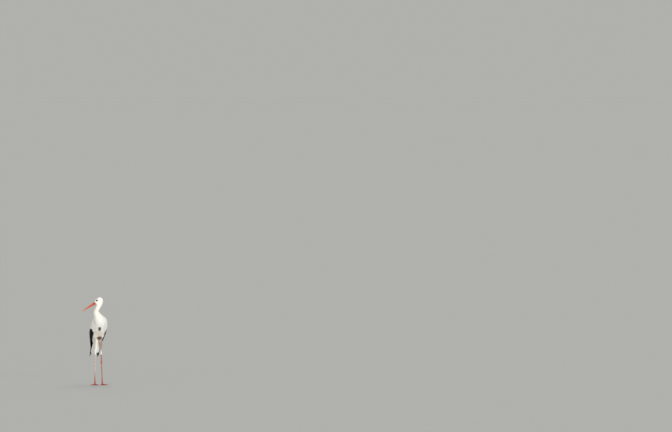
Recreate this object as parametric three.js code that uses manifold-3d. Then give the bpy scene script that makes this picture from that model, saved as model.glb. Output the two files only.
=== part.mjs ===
// White stork, life size: a still model of the bird standing at rest with its head turned to its right.
// Units are millimetres. The trunk faces -Y, +Z is up and +X is the bird's left side.
import * as THREE from "three";
import { mergeVertices } from "three/addons/utils/BufferGeometryUtils.js";
import Module from "manifold-3d";

const wasm = await Module();
wasm.setup();

// ---------------------------------------------------------------- driving dimensions

const GAP = 0.3; // clearance between pieces that meet

const BILL_LENGTH = 163;
const HEAD_YAW = 90; // degrees the bill is turned from straight ahead to the bird's right
const HEAD_PITCH = 31.6; // degrees the bill points below level
const BILL_BASE = new THREE.Vector3(-59.2, -142.4, 853); // where the bill leaves the feathers
const GAPE_DROP = 1.2; // the closed mouth line lies this far under the bill's axis
const EYE_RADIUS = 7.6;
const EYE_BACK = 28; // eye centre behind the bill base
const EYE_RISE = 12; // eye centre above the bill's axis
const EYE_ASIDE = 11.3; // eye centre from the head's middle

const LEG_SPACING = 76; // between the middles of the two legs
const ANKLE_HEIGHT = 226;
const BARE_TIBIA_TOP = 322; // where the thigh feathers end
const LEG_BACK = 34; // how far behind the model's origin the ankles are
const FOOT_BACK = 12; // and the middles of the feet
const TOE_RADIUS = 5;
const SOLE_CUT = 0.9; // depth of the small flats under the toes
const HUB_RADIUS = 9.2; // the ball of the foot, where the toes meet
const HUB_HEIGHT = 8.8; // its middle, so that its flat lies on the floor
const INSTEP_HEIGHT = 19; // where the tarsus stands on the foot
const ANKLE_CUT = 9; // how far above the ankle's middle the tibia meets the tarsus
const CLAW_LENGTH = 10;
const HIND_CLAW_LENGTH = 8;

const WING_DEPTH = 4; // how deep a folded wing is let into the trunk
const COVERT_EDGE = 583; // height where the white coverts end over the black feathers, at the flank
const COVERT_RISE = 0.16; // how much that edge rises for each millimetre towards the tail
const COVERT_FRONT = -60; // ahead of this place the edge runs level
const SCALLOP_WIDTH = 21; // one covert feather's tip
const SCALLOP_DEPTH = 5;

// Stations of the trunk: aside, distance back, height, half width, dorsal and ventral radius.
const TRUNK = [
  [-13, -177, 691, 5, 5, 5],
  [-12, -163, 689, 36, 32, 38],
  [-7, -137, 680, 61, 50, 62],
  [-1, -95, 655, 70, 68, 80],
  [0, -30, 605, 75, 76, 87],
  [0, 40, 550, 72, 72, 79],
  [0, 110, 490, 57, 54, 55],
  [0, 165, 437, 40, 34, 34],
  [0, 200, 404, 14, 10, 12],
];

// Stations of a folded wing: back, height, half width, dorsal radius, ventral radius, thickness over the
// trunk, first and last angle round the body (0 is the middle of the back, 90 is the flank).
const WING = [
  [-126, 680, 62, 52, 62, 1, 60, 88],
  [-98, 660, 69, 67, 78, 6, 42, 106],
  [-48, 620, 74, 76, 87, 9, 20, 119],
  [5, 578, 75, 77, 86, 9, 7, 123],
  [60, 532, 73, 70, 76, 9, 1.5, 118],
  [115, 485, 66, 55, 58, 8, 1.5, 110],
  [170, 435, 54, 38, 42, 7, 1.5, 102],
  [225, 382, 42, 22, 30, 6, 2, 98],
  [272, 335, 31, 12, 20, 4, 10, 92],
  [300, 306, 20, 8, 12, 2.5, 40, 84],
];

// How far each wing hangs away from the body at those stations. The right wing is held more loosely.
const SPREAD = {
  left: [0, 0, 1, 1, 1, 2, 3, 4, 5, 6],
  right: [0, 1, 3, 6, 8, 8, 8, 9, 11, 13],
};
const TIP_FREE = 0.6; // share of the wing past which its whole width hangs away, not only its lower edge
const WING_EDGE = 0.25; // share of its thickness that a wing keeps at its two long edges

// Tips of the longest primaries of a wing: start and end share along it, angle round the body, half width.
const PRIMARIES = [
  [0.78, 1.0, 46, 11],
  [0.8, 1.035, 60, 10],
  [0.78, 1.02, 74, 10],
];

// Stations from the face round the throat and down the neck: middle of the section, turn of its side
// (degrees from the bird's left), lean of its nape end over level, half width and half depth.
const NECK = [
  [[-59, -142.4, 852.6], -90, 121.6, 12.2, 15],
  [[-52.4, -142.4, 857.8], -90, 100, 16.8, 21.6],
  [[-42.9, -142.4, 865], -90, 83.5, 20.8, 30.7],
  [[-33.3, -142.4, 870.3], -90, 72.4, 23, 39.6],
  [[-24.6, -142.4, 870.8], -90, 63.6, 23.8, 44.8],
  [[-16.5, -142.4, 864.8], -90, 51.9, 24, 45.4],
  [[-11.1, -142.4, 855.3], -90, 39.4, 23.8, 43.7],
  [[-10.6, -142.4, 843.5], -90, 27.4, 23.5, 40.3],
  [[-15.5, -142.4, 830], -90, 17, 23.6, 36.1],
  [[-24, -144.5, 812], -77, 5, 24, 30.4],
  [[-35, -150, 792.5], -57, -8, 23.8, 26.6],
  [[-48, -159, 773], -32, -12, 25.5, 27.5],
  [[-45, -164, 750], -12, -2, 33, 33],
  [[-29, -157, 722], 0, 16, 46, 43],
  [[-14, -125, 688], 0, 36, 54, 50],
  [[-3, -85, 660], 0, 45, 40, 38],
];
const HEAD_END = 8.2 / 15; // share of those stations where the head meets the neck
const NECK_MIDDLE = 11 / 15; // and where the upper neck meets the lower neck

// Stations of the bill along its axis: share of its length, half width and half depth.
const BILL = [
  [0, 12, 14.6],
  [0.15, 10.2, 12.2],
  [0.4, 7.4, 9],
  [0.7, 4.6, 5.8],
  [0.92, 2.2, 2.7],
  [1, 0.6, 0.6],
];

// Stations of the tail fan: aside, back, height, half width, upper and lower radius.
const TAIL = [
  [0, 120, 458, 26, 16, 20],
  [0, 158, 428, 35, 15, 21],
  [0, 205, 388, 39, 9, 13],
  [0, 250, 348, 42, 4.5, 6],
  [0, 280, 321, 42, 2.2, 2.4],
  [0, 291, 311, 36, 1, 1],
];

// Stations down a leg: place as aside from the leg's middle, back and height; radius across, fore and aft.
const THIGH = [
  [[-19, 8, 530], 17, 30],
  [[-18.5, 14, 480], 17.8, 33],
  [[-17.5, 21, 430], 18.2, 28],
  [[-14, 26, 380], 14.5, 19],
  [[-10, 29, 342], 10, 12],
  [[-8, 31, BARE_TIBIA_TOP], 7.5, 8.5],
];
const SHANK = [
  [[-8.5, 31, BARE_TIBIA_TOP + 14], 5.6, 6.4],
  [[-6.2, 32, 285], 5.4, 6],
  [[-4.8, LEG_BACK - 0.5, 252], 6.2, 7.2],
  [[-4, LEG_BACK, ANKLE_HEIGHT], 8.4, 10],
  [[-3.2, LEG_BACK - 3, 198], 5.2, 6.4],
  [[-1.6, LEG_BACK - 9, 130], 4.4, 5],
  [[-0.5, FOOT_BACK + 5, 65], 4.6, 5],
  [[0, FOOT_BACK, 12], 7.4, 6.6],
];

// Toes of one foot: name, angle from straight ahead towards the outside, length, number of joints.
const TOES = [
  ["middle", 7, 80, 3],
  ["inner", -24, 62, 2],
  ["outer", 43, 70, 4],
  ["hind", 172, 36, 1],
];

// ---------------------------------------------------------------- shapes

const radians = THREE.MathUtils.degToRad;

/** A smooth curve through rows of three numbers. */
function curveThrough(rows) {
  return new THREE.CatmullRomCurve3(rows.map((row) => new THREE.Vector3(...row)), false, "catmullrom", 0.5);
}

/** A smooth function of t from 0 to 1 through a list of numbers. */
function valueThrough(values) {
  const curve = curveThrough(values.map((value) => [value, 0, 0]));
  return (t) => curve.getPoint(t).x;
}

/** Local axes at t of a spine, square to it, with the section's side along sideAt(t). */
function squareAxes(spine, sideAt) {
  return (t) => {
    const along = spine.getTangent(t);
    const side = sideAt(t);
    side.addScaledVector(along, -side.dot(along)).normalize();
    const up = new THREE.Vector3().crossVectors(along, side).normalize();
    return { at: spine.getPoint(t), along, side, up };
  };
}

/** Signed volume of a triangle list, positive where its faces point outwards. */
function signedVolume(points, triangles) {
  let volume = 0;
  for (let i = 0; i < triangles.length; i += 3) {
    const [a, b, c] = [points[triangles[i]], points[triangles[i + 1]], points[triangles[i + 2]]];
    volume += a.dot(new THREE.Vector3().crossVectors(b, c)) / 6;
  }
  return volume;
}

/** A closed geometry from points and triangles, turned so that its faces point outwards. */
function closedGeometry(points, triangles) {
  const ordered = signedVolume(points, triangles) < 0 ? [...triangles].reverse() : triangles;
  const geometry = new THREE.BufferGeometry().setFromPoints(points);
  geometry.setIndex(ordered);
  return geometry;
}

/** Triangles of the walls between equal loops of points that follow one another in a list. */
function wallsBetween(loops) {
  const count = loops[0].length;
  const triangles = [];
  for (let r = 0; r < loops.length - 1; r += 1) {
    for (let k = 0; k < count; k += 1) {
      const a = r * count + k;
      const b = r * count + ((k + 1) % count);
      triangles.push(a, b, a + count, b, b + count, a + count);
    }
  }
  return triangles;
}

/** Joins equal rings of points into a closed skin; the end rings close on a point in their middle. */
function skinRings(rings) {
  const count = rings[0].length;
  const points = rings.flat();
  const triangles = wallsBetween(rings);
  for (const [first, turn] of [[0, true], [(rings.length - 1) * count, false]]) {
    const middle = new THREE.Vector3();
    for (let k = 0; k < count; k += 1) {
      middle.addScaledVector(points[first + k], 1 / count);
    }
    points.push(middle);
    for (let k = 0; k < count; k += 1) {
      const a = first + k;
      const b = first + ((k + 1) % count);
      triangles.push(points.length - 1, turn ? b : a, turn ? a : b);
    }
  }
  return closedGeometry(points, triangles);
}

/** Joins flat loops that run out along one side and back along the other; the end loops close across. */
function skinBands(loops) {
  const count = loops[0].length;
  const triangles = wallsBetween(loops);
  for (const [first, turn] of [[0, true], [(loops.length - 1) * count, false]]) {
    for (let k = 0; k < count / 2 - 1; k += 1) {
      const quad = [first + k, first + k + 1, first + count - 2 - k, first + count - 1 - k];
      if (turn) quad.reverse();
      triangles.push(quad[0], quad[1], quad[2], quad[0], quad[2], quad[3]);
    }
  }
  return closedGeometry(loops.flat(), triangles);
}

/**
 * A solid made of oval sections. axesAt(t) places and turns a section, radiiAt(t) gives its half width,
 * upper and lower radius. grow makes the whole solid larger by that much.
 */
function oval({ axesAt, radiiAt, rings, sides, from = 0, to = 1, grow = 0 }) {
  const loops = [];
  for (let r = 0; r <= rings; r += 1) {
    const t = from + ((to - from) * r) / rings;
    const { at, along, side, up } = axesAt(t);
    const [half, upper, lower] = radiiAt(t).map((radius) => Math.max(radius, 0.4) + grow);
    const end = r === 0 ? -grow : r === rings ? grow : 0;
    const middle = at.clone().addScaledVector(along, end);
    const loop = [];
    for (let k = 0; k < sides; k += 1) {
      const angle = (k / sides) * 2 * Math.PI;
      const height = Math.sin(angle) > 0 ? upper : lower;
      const point = middle.clone().addScaledVector(side, half * Math.cos(angle));
      loop.push(point.addScaledVector(up, height * Math.sin(angle)));
    }
    loops.push(loop);
  }
  return skinRings(loops);
}

/** The manifold solid of a closed geometry. */
function solidOf(geometry) {
  const bare = geometry.clone();
  bare.deleteAttribute("normal");
  bare.deleteAttribute("uv");
  const merged = mergeVertices(bare, 1e-4);
  const mesh = new wasm.Mesh({
    numProp: 3,
    vertProperties: new Float32Array(merged.attributes.position.array),
    triVerts: new Uint32Array(merged.index.array),
  });
  return new wasm.Manifold(mesh);
}

/** The largest closed body of a solid, as a geometry. */
function geometryOf(solid) {
  const bodies = solid.decompose().sort((one, other) => other.volume() - one.volume());
  const mesh = bodies[0].getMesh();
  const geometry = new THREE.BufferGeometry();
  geometry.setAttribute("position", new THREE.BufferAttribute(mesh.vertProperties, 3));
  geometry.setIndex(new THREE.BufferAttribute(mesh.triVerts, 1));
  return geometry;
}

/** Keeps the part of a solid on the far side of a plane through a point. */
function keepBeyond(solid, point, normal, clearance = GAP / 2) {
  return solid.trimByPlane(normal.toArray(), normal.dot(point) + clearance);
}

// ---------------------------------------------------------------- materials

const MATERIALS = {
  plumage_white: { color: 0xf3f0e8, roughness: 0.85 },
  plumage_black: { color: 0x16171a, roughness: 0.6 },
  bill_red: { color: 0xc8452a, roughness: 0.4 },
  leg_red: { color: 0xb4483a, roughness: 0.6 },
  eye_dark: { color: 0x140f0c, roughness: 0.1 },
  claw_dark: { color: 0x4a3a34, roughness: 0.5 },
};
for (const [name, settings] of Object.entries(MATERIALS)) {
  MATERIALS[name] = new THREE.MeshStandardMaterial({ ...settings, metalness: 0, name });
}

const stork = new THREE.Group();

/** Adds one sub-part to the bird. */
function add(name, material, geometry) {
  const mesh = new THREE.Mesh(geometry, MATERIALS[material]);
  mesh.name = name;
  stork.add(mesh);
}

// ---------------------------------------------------------------- trunk

// Turned is for a spine that runs back: it leaves the dorsal radius on top.
const acrossBird = () => new THREE.Vector3(1, 0, 0);
const acrossTurned = () => new THREE.Vector3(-1, 0, 0);

/** A solid along the bird, from rows of aside, back, height, half width, dorsal and ventral radius. */
function lengthwiseSolid(rows, rings, sides, grow) {
  const spine = curveThrough(rows.map((row) => row.slice(0, 3)));
  const radii = curveThrough(rows.map((row) => row.slice(3)));
  const radiiAt = (t) => radii.getPoint(t).toArray();
  return solidOf(oval({ axesAt: squareAxes(spine, acrossTurned), radiiAt, rings, sides, grow }));
}

const trunkSolid = (grow = 0) => lengthwiseSolid(TRUNK, 19, 20, grow);
const tailSolid = () => lengthwiseSolid(TAIL, 8, 14, 0);

// ---------------------------------------------------------------- wings

const wingSpine = curveThrough(WING.map(([back, height]) => [0, back, height]));
const wingAxes = squareAxes(wingSpine, acrossBird);
const wingRadii = curveThrough(WING.map(([, , half, upper, lower]) => [half, upper, lower]));
const wingThickness = valueThrough(WING.map((row) => row[5]));
const wingFirst = valueThrough(WING.map((row) => row[6]));
const wingLast = valueThrough(WING.map((row) => row[7]));

/** A point of a folded wing: t along it, an angle round the body, and a height over the trunk there. */
function wingPoint(sign, spreadAt, t, angle, lift) {
  const { at, up } = wingAxes(Math.min(t, 1));
  const [half, upper, lower] = wingRadii.getPoint(Math.min(t, 1)).toArray();
  const height = Math.cos(angle) > 0 ? upper : lower;
  const free = THREE.MathUtils.smoothstep(t, TIP_FREE, 1);
  const away = spreadAt(Math.min(t, 1)) * THREE.MathUtils.lerp(Math.sin(angle), 1, free);
  at.x += sign * ((half + lift) * Math.sin(angle) + away);
  return at.addScaledVector(up, -(height + lift) * Math.cos(angle));
}

/** A folded wing: a curved plate over one side of the body, from the wrist to the longest feathers. */
function wingSolid(sign, spread, grow = 0) {
  const rings = 17;
  const steps = 6;
  const spreadAt = valueThrough(spread);
  const loops = [];
  for (let r = 0; r <= rings; r += 1) {
    const t = r / rings;
    const end = r === 0 ? -grow : r === rings ? grow : 0;
    const slide = wingAxes(t).along.multiplyScalar(end);
    const extra = grow / wingRadii.getPoint(t).x;
    const loop = [];
    for (const layer of [1, -1]) {
      for (let k = 0; k <= steps; k += 1) {
        const share = (layer > 0 ? k : steps - k) / steps;
        const [first, last] = [radians(wingFirst(t)) - extra, radians(wingLast(t)) + extra];
        const angle = THREE.MathUtils.lerp(first, last, share);
        const edge = WING_EDGE + (1 - WING_EDGE) * Math.sin(Math.PI * share) ** 0.5;
        const lift = layer > 0 ? wingThickness(t) * edge + grow : -WING_DEPTH * edge - grow;
        loop.push(wingPoint(sign, spreadAt, t, angle, lift).add(slide));
      }
    }
    loops.push(loop);
  }
  return solidOf(skinBands(loops));
}

/** The free end of one primary: a thin pointed blade along the wing. */
function primarySolid(sign, spread, [first, last, angle, half]) {
  const spreadAt = valueThrough(spread);
  const start = wingPoint(sign, spreadAt, first, radians(angle), -1);
  const way = wingAxes(1).along;
  const length = wingSpine.getLength() * (last - first);
  const spine = new THREE.LineCurve3(start, start.clone().addScaledVector(way, length));
  const outward = wingPoint(sign, spreadAt, first, radians(angle), 9).sub(start).normalize();
  const axesAt = (t) => ({
    at: spine.getPoint(t),
    along: way,
    side: new THREE.Vector3().crossVectors(way, outward).normalize(),
    up: outward,
  });
  const radiiAt = (t) => [half * Math.sqrt(1 - 0.96 * t ** 3), 2.2 - 1.2 * t, 2.2 - 1.2 * t];
  return solidOf(oval({ axesAt, radiiAt, rings: 4, sides: 6 }));
}

/** The space above (or below) the scalloped edge of the white coverts, right across the bird. */
function covertSpace(above) {
  const shape = new THREE.Shape();
  const reach = 400;
  const far = above ? 1000 : 100;
  const clearance = above ? GAP / 2 : -GAP / 2;
  shape.moveTo(-reach, far);
  for (let y = -reach; y <= reach; y += SCALLOP_WIDTH / 4) {
    const tip = Math.abs(Math.sin((Math.PI * y) / SCALLOP_WIDTH)) * SCALLOP_DEPTH;
    shape.lineTo(y, COVERT_EDGE + COVERT_RISE * Math.max(y, COVERT_FRONT) - tip + clearance);
  }
  shape.lineTo(reach, far);
  shape.closePath();
  const space = new THREE.ExtrudeGeometry(shape, { depth: 2 * reach, bevelEnabled: false });
  space.translate(0, 0, -reach);
  // The shape is drawn in a plane of distance back and height, so it is stood up across the bird.
  space.applyMatrix4(new THREE.Matrix4().makeBasis(
    new THREE.Vector3(0, 1, 0),
    new THREE.Vector3(0, 0, 1),
    new THREE.Vector3(1, 0, 0),
  ));
  return solidOf(space);
}

// ---------------------------------------------------------------- head and neck

const neckSpine = curveThrough(NECK.map(([middle]) => middle));
const neckRadii = curveThrough(NECK.map(([, , , half, deep]) => [half, deep, deep]));
const neckTurn = valueThrough(NECK.map(([, turn]) => turn));
const neckLean = valueThrough(NECK.map(([, , lean]) => lean));

/** Axes of a neck section: its side lies level, and its nape end leans over level. */
function neckAxes(t) {
  const turn = radians(neckTurn(t));
  const lean = radians(neckLean(t));
  const side = new THREE.Vector3(Math.cos(turn), Math.sin(turn), 0);
  const backwards = new THREE.Vector3(-Math.sin(turn), Math.cos(turn), 0);
  const up = backwards.multiplyScalar(Math.cos(lean)).setZ(Math.sin(lean));
  return { at: neckSpine.getPoint(t), along: new THREE.Vector3().crossVectors(side, up), side, up };
}

/** A length of head and neck, between two shares of its stations. */
function neckSolid(from, to, rings, sides, grow = 0) {
  const radiiAt = (t) => neckRadii.getPoint(t).toArray();
  return solidOf(oval({ axesAt: neckAxes, radiiAt, rings, sides, from, to, grow }));
}

const forward = new THREE.Vector3(
  -Math.sin(radians(HEAD_YAW)) * Math.cos(radians(HEAD_PITCH)),
  -Math.cos(radians(HEAD_YAW)) * Math.cos(radians(HEAD_PITCH)),
  -Math.sin(radians(HEAD_PITCH)),
);
const headLeft = new THREE.Vector3(0, 0, 1).cross(forward).normalize();
const headUp = new THREE.Vector3().crossVectors(forward, headLeft).normalize();

/** The middle of an eye, 1 for the left and -1 for the right. */
function eyeCentre(sign) {
  return BILL_BASE.clone()
    .addScaledVector(forward, -EYE_BACK)
    .addScaledVector(headUp, EYE_RISE)
    .addScaledVector(headLeft, sign * EYE_ASIDE);
}

/** An eyeball. */
function eyeGeometry(sign, grow = 0) {
  const ball = new THREE.SphereGeometry(EYE_RADIUS + grow, 10, 7);
  const centre = eyeCentre(sign);
  return ball.translate(centre.x, centre.y, centre.z);
}

/** The closed bill, a straight tapering spike. */
function billSolid() {
  const profile = curveThrough(BILL);
  const axesAt = (t) => ({
    at: BILL_BASE.clone().addScaledVector(forward, profile.getPoint(t).x * BILL_LENGTH),
    along: forward,
    side: headLeft,
    up: headUp,
  });
  const radiiAt = (t) => {
    const { y: half, z: deep } = profile.getPoint(t);
    return [half, deep, deep];
  };
  return solidOf(oval({ axesAt, radiiAt, rings: 7, sides: 12 }));
}

// ---------------------------------------------------------------- legs

/** The middle line of a leg, from places given as aside, back and height. */
function legSpine(places, sign) {
  const middle = LEG_SPACING / 2;
  return curveThrough(places.map(([aside, back, height]) => [sign * (middle + aside), back, height]));
}

/** One length of a leg, from its stations. */
function limb(rows, sign, rings, sides, grow = 0) {
  const radii = curveThrough(rows.map(([, across, deep]) => [across, deep, deep]));
  const radiiAt = (t) => radii.getPoint(t).toArray();
  const spine = legSpine(rows.map(([place]) => place), sign);
  return solidOf(oval({ axesAt: squareAxes(spine, acrossBird), radiiAt, rings, sides, grow }));
}

/** Middle line of a toe from the foot's middle, and the point and direction where its claw starts. */
function toeLine(sign, angle, length) {
  const turn = radians(angle);
  const heading = new THREE.Vector3(sign * Math.sin(turn), -Math.cos(turn), 0);
  const hub = new THREE.Vector3((sign * LEG_SPACING) / 2, FOOT_BACK, 0);
  const at = (distance, height) => hub.clone().addScaledVector(heading, distance).setZ(height);
  return { heading, at, end: at(length, TOE_RADIUS) };
}

/** A toe: it arches down from the instep, swells a little at each joint and narrows to its tip. */
function toeSolid(sign, [, angle, length, joints]) {
  const { at } = toeLine(sign, angle, length);
  const low = TOE_RADIUS - SOLE_CUT;
  const spine = new THREE.CatmullRomCurve3([
    at(0, 11),
    at(length * 0.2, low + 1.6),
    at(length * 0.5, low),
    at(length, low - 0.9),
  ]);
  const radiiAt = (t) => {
    const knuckle = 0.35 * Math.cos(t * joints * 2 * Math.PI);
    const taper = 1.35 - 0.62 * Math.min(1, t * 1.15);
    const radius = TOE_RADIUS * taper * Math.min(1, 0.55 + 4 * (1 - t)) + knuckle;
    return [radius, radius, radius];
  };
  return solidOf(oval({ axesAt: squareAxes(spine, acrossToe(sign, angle)), radiiAt, rings: 5, sides: 8 }));
}

/** The level direction square to a toe. */
function acrossToe(sign, angle) {
  const { heading } = toeLine(sign, angle, 1);
  return () => new THREE.Vector3(-heading.y, heading.x, 0);
}

/** A foot: its ball and toes in one piece, cut flat where they touch the floor. */
function footSolid(sign) {
  const hub = new THREE.SphereGeometry(HUB_RADIUS, 8, 6);
  hub.translate((sign * LEG_SPACING) / 2, FOOT_BACK, HUB_HEIGHT);
  let foot = solidOf(hub);
  for (const toe of TOES) {
    foot = foot.add(toeSolid(sign, toe));
  }
  return foot.trimByPlane([0, 0, 1], 0);
}

/** A flat nail at the end of a toe. */
function clawSolid(sign, [name, angle, length]) {
  const { at } = toeLine(sign, angle, length);
  const reach = name === "hind" ? HIND_CLAW_LENGTH : CLAW_LENGTH;
  const spine = new THREE.LineCurve3(at(length + GAP, 3.4), at(length + reach, 1.7));
  const radiiAt = (t) => [2.4 * (1 - 0.7 * t), 1.8 * (1 - 0.65 * t), 1.6 * (1 - 0.6 * t)];
  return solidOf(oval({ axesAt: squareAxes(spine, acrossToe(sign, angle)), radiiAt, rings: 2, sides: 6 }));
}

// ---------------------------------------------------------------- assembly

const SIDES = { left: 1, right: -1 };

const bill = billSolid();
const beforeFace = keepBeyond(bill, BILL_BASE, forward, GAP);
const gape = BILL_BASE.clone().addScaledVector(headUp, -GAPE_DROP);
add("bill_upper", "bill_red", geometryOf(keepBeyond(beforeFace, gape, headUp)));
add("bill_lower", "bill_red", geometryOf(keepBeyond(beforeFace, gape, headUp.clone().negate())));

const gapShare = GAP / 2 / neckSpine.getLength();
let head = neckSolid(0, HEAD_END - gapShare, 16, 18);
for (const [side, sign] of Object.entries(SIDES)) {
  head = head.subtract(solidOf(eyeGeometry(sign, GAP)));
  add(`eye_${side}`, "eye_dark", eyeGeometry(sign));
}
add("head", "plumage_white", geometryOf(head));

const trunkGrown = trunkSolid(GAP);
const neckUpper = neckSolid(HEAD_END + gapShare, NECK_MIDDLE - gapShare, 7, 18);
add("neck_upper", "plumage_white", geometryOf(neckUpper));
const neckLower = neckSolid(NECK_MIDDLE + gapShare, 1, 9, 18);
add("neck_lower", "plumage_white", geometryOf(neckLower.subtract(trunkGrown)));
const neckGrown = neckSolid(NECK_MIDDLE, 1, 9, 18, GAP);

let trunk = trunkSolid();
let tail = tailSolid().subtract(trunkGrown);
for (const [side, sign] of Object.entries(SIDES)) {
  const wingGrown = wingSolid(sign, SPREAD[side], GAP);
  trunk = trunk.subtract(wingGrown);
  tail = tail.subtract(wingGrown);
  const wing = wingSolid(sign, SPREAD[side]).subtract(neckGrown);
  add(`wing_coverts_${side}`, "plumage_white", geometryOf(wing.intersect(covertSpace(true))));
  let flights = wing.intersect(covertSpace(false));
  for (const primary of PRIMARIES) {
    flights = flights.add(primarySolid(sign, SPREAD[side], primary));
  }
  tail = tail.subtract(flights);
  add(`wing_flights_${side}`, "plumage_black", geometryOf(flights));

  const thigh = limb(THIGH, sign, 8, 12).subtract(trunkGrown).subtract(wingGrown);
  add(`thigh_${side}`, "plumage_white", geometryOf(thigh.subtract(limb(SHANK, sign, 13, 10, GAP))));
  const shank = limb(SHANK, sign, 13, 10);
  const foot = footSolid(sign);
  const upwards = new THREE.Vector3(0, 0, 1);
  const downwards = new THREE.Vector3(0, 0, -1);
  const ankle = new THREE.Vector3(0, 0, ANKLE_HEIGHT + ANKLE_CUT);
  const instep = new THREE.Vector3(0, 0, INSTEP_HEIGHT);
  add(`tibia_${side}`, "leg_red", geometryOf(keepBeyond(shank, ankle, upwards)));
  const tarsus = keepBeyond(shank, ankle, downwards);
  add(`tarsus_${side}`, "leg_red", geometryOf(keepBeyond(tarsus, instep, upwards)));
  add(`foot_${side}`, "leg_red", geometryOf(foot));
  for (const toe of TOES) {
    add(`claw_${side}_${toe[0]}`, "claw_dark", geometryOf(clawSolid(sign, toe)));
  }
}
add("trunk", "plumage_white", geometryOf(trunk));
add("tail", "plumage_white", geometryOf(tail));

// The origin is moved to the middle of the bird's box, on the floor.
const box = new THREE.Box3().setFromObject(stork);
stork.position.set(-(box.min.x + box.max.x) / 2, -(box.min.y + box.max.y) / 2, -box.min.z);

export default stork;
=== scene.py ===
"""White stork, standing at rest: skin, feathers, bill, eyes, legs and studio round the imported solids.

Shapes are worked out in millimetres in the bird's own frame: it faces -Y, +X is its left, Z is up from the
floor, and X = 0 is the middle of the trunk and of the legs. new_piece() turns them to metres in the frame
of the solids.
"""

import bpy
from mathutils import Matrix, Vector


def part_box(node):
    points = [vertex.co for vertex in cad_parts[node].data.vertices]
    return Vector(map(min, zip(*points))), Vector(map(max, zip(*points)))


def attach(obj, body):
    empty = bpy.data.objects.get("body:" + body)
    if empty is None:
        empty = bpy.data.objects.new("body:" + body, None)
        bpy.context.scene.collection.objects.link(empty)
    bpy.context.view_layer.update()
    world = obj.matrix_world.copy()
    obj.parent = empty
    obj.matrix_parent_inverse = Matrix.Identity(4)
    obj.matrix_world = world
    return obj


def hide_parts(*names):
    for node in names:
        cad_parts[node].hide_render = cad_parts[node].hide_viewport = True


bl_info = {
    "name": "White stork",
    "version": (1, 0, 0),
    "blender": (4, 5, 0),
    "location": "View3D > Sidebar > Stork",
    "description": "Builds a life-size white stork from its skin, feathers, bill, eyes and legs",
    "category": "Add Mesh",
}

import bpy
import numpy as np
from bpy.props import FloatProperty, FloatVectorProperty, PointerProperty
from mathutils import Vector

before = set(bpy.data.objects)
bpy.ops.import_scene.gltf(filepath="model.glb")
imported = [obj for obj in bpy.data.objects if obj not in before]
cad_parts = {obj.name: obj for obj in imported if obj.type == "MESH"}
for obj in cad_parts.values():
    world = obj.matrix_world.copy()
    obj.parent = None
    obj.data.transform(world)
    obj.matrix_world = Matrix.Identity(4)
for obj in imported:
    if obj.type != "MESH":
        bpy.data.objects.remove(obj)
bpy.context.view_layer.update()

MM = 0.001
TAU = 2 * np.pi
SIDES = {"left": 1, "right": -1}

# ---------------------------------------------------------------- the bird's measures, in mm and degrees

HEAD_YAW = 90  # the bill is turned this far to the bird's right
HEAD_PITCH = 31.6  # and points this far below level
BILL_LENGTH = 163
BILL_BASE = np.array((-59.2, -142.4, 853))
EYE_RADIUS = 7.6
EYE_BACK = 28  # eye centre behind the bill base
EYE_RISE = 12  # above the bill's axis
EYE_ASIDE = 11.3  # from the head's middle
LEG_SPACING = 76
FOOT_BACK = 12
TOE_RADIUS = 5
WING_DEPTH = 4  # how deep a folded wing is let into the trunk
COVERT_EDGE = 583  # height at Y = 0 of the edge where the white coverts end over the black feathers
COVERT_RISE = 0.16  # how much that edge rises for each mm towards the tail
COVERT_LEVEL = -60  # ahead of this distance back the edge is level
TIP_FREE = 0.6  # share of the wing past which its whole width hangs away from the body

# One section a row, from the bill base over crown, nape, neck and breast to the root of the tail:
# middle x, y, z; turn of its side from the bird's left; lean of its dorsal radius; half width; dorsal and
# ventral radius.
BODY = np.array((
    (-59, -142.4, 852.6, -90, 121.6, 12.2, 15, 15),
    (-52.4, -142.4, 857.8, -90, 100, 16.8, 21.6, 21.6),
    (-42.9, -142.4, 865, -90, 83.5, 20.8, 30.7, 30.7),
    (-33.3, -142.4, 870.3, -90, 72.4, 23, 39.6, 39.6),
    (-24.6, -142.4, 870.8, -90, 63.6, 23.8, 44.8, 44.8),
    (-16.5, -142.4, 864.8, -90, 51.9, 24, 45.4, 45.4),
    (-11.1, -142.4, 855.3, -90, 39.4, 23.8, 43.7, 43.7),
    (-10.6, -142.4, 843.5, -90, 27.4, 23.5, 40.3, 40.3),
    (-15.5, -142.4, 830, -90, 17, 23.6, 36.1, 36.1),
    (-24, -144.5, 812, -77, 5, 24, 30.4, 30.4),
    (-35, -150, 792.5, -57, -8, 23.8, 26.6, 26.6),
    (-48, -159, 773, -32, -12, 25.5, 27.5, 27.5),
    (-45, -164, 750, -12, -2, 33, 33, 33),
    (-29, -157, 722, 0, 16, 46, 43, 43),
    (-17, -146, 700, 0, 40, 55, 45, 56),
    (-7, -137, 680, 0, 56, 61, 50, 62),
    (-1, -95, 655, 0, 55, 70, 68, 80),
    (0, -30, 605, 0, 52, 75, 76, 87),
    (0, 40, 550, 0, 50.6, 72, 72, 79),
    (0, 110, 490, 0, 48, 57, 54, 55),
    (0, 165, 437, 0, 46, 40, 34, 34),
    (0, 200, 404, 0, 46, 14, 10, 12),
))
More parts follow.
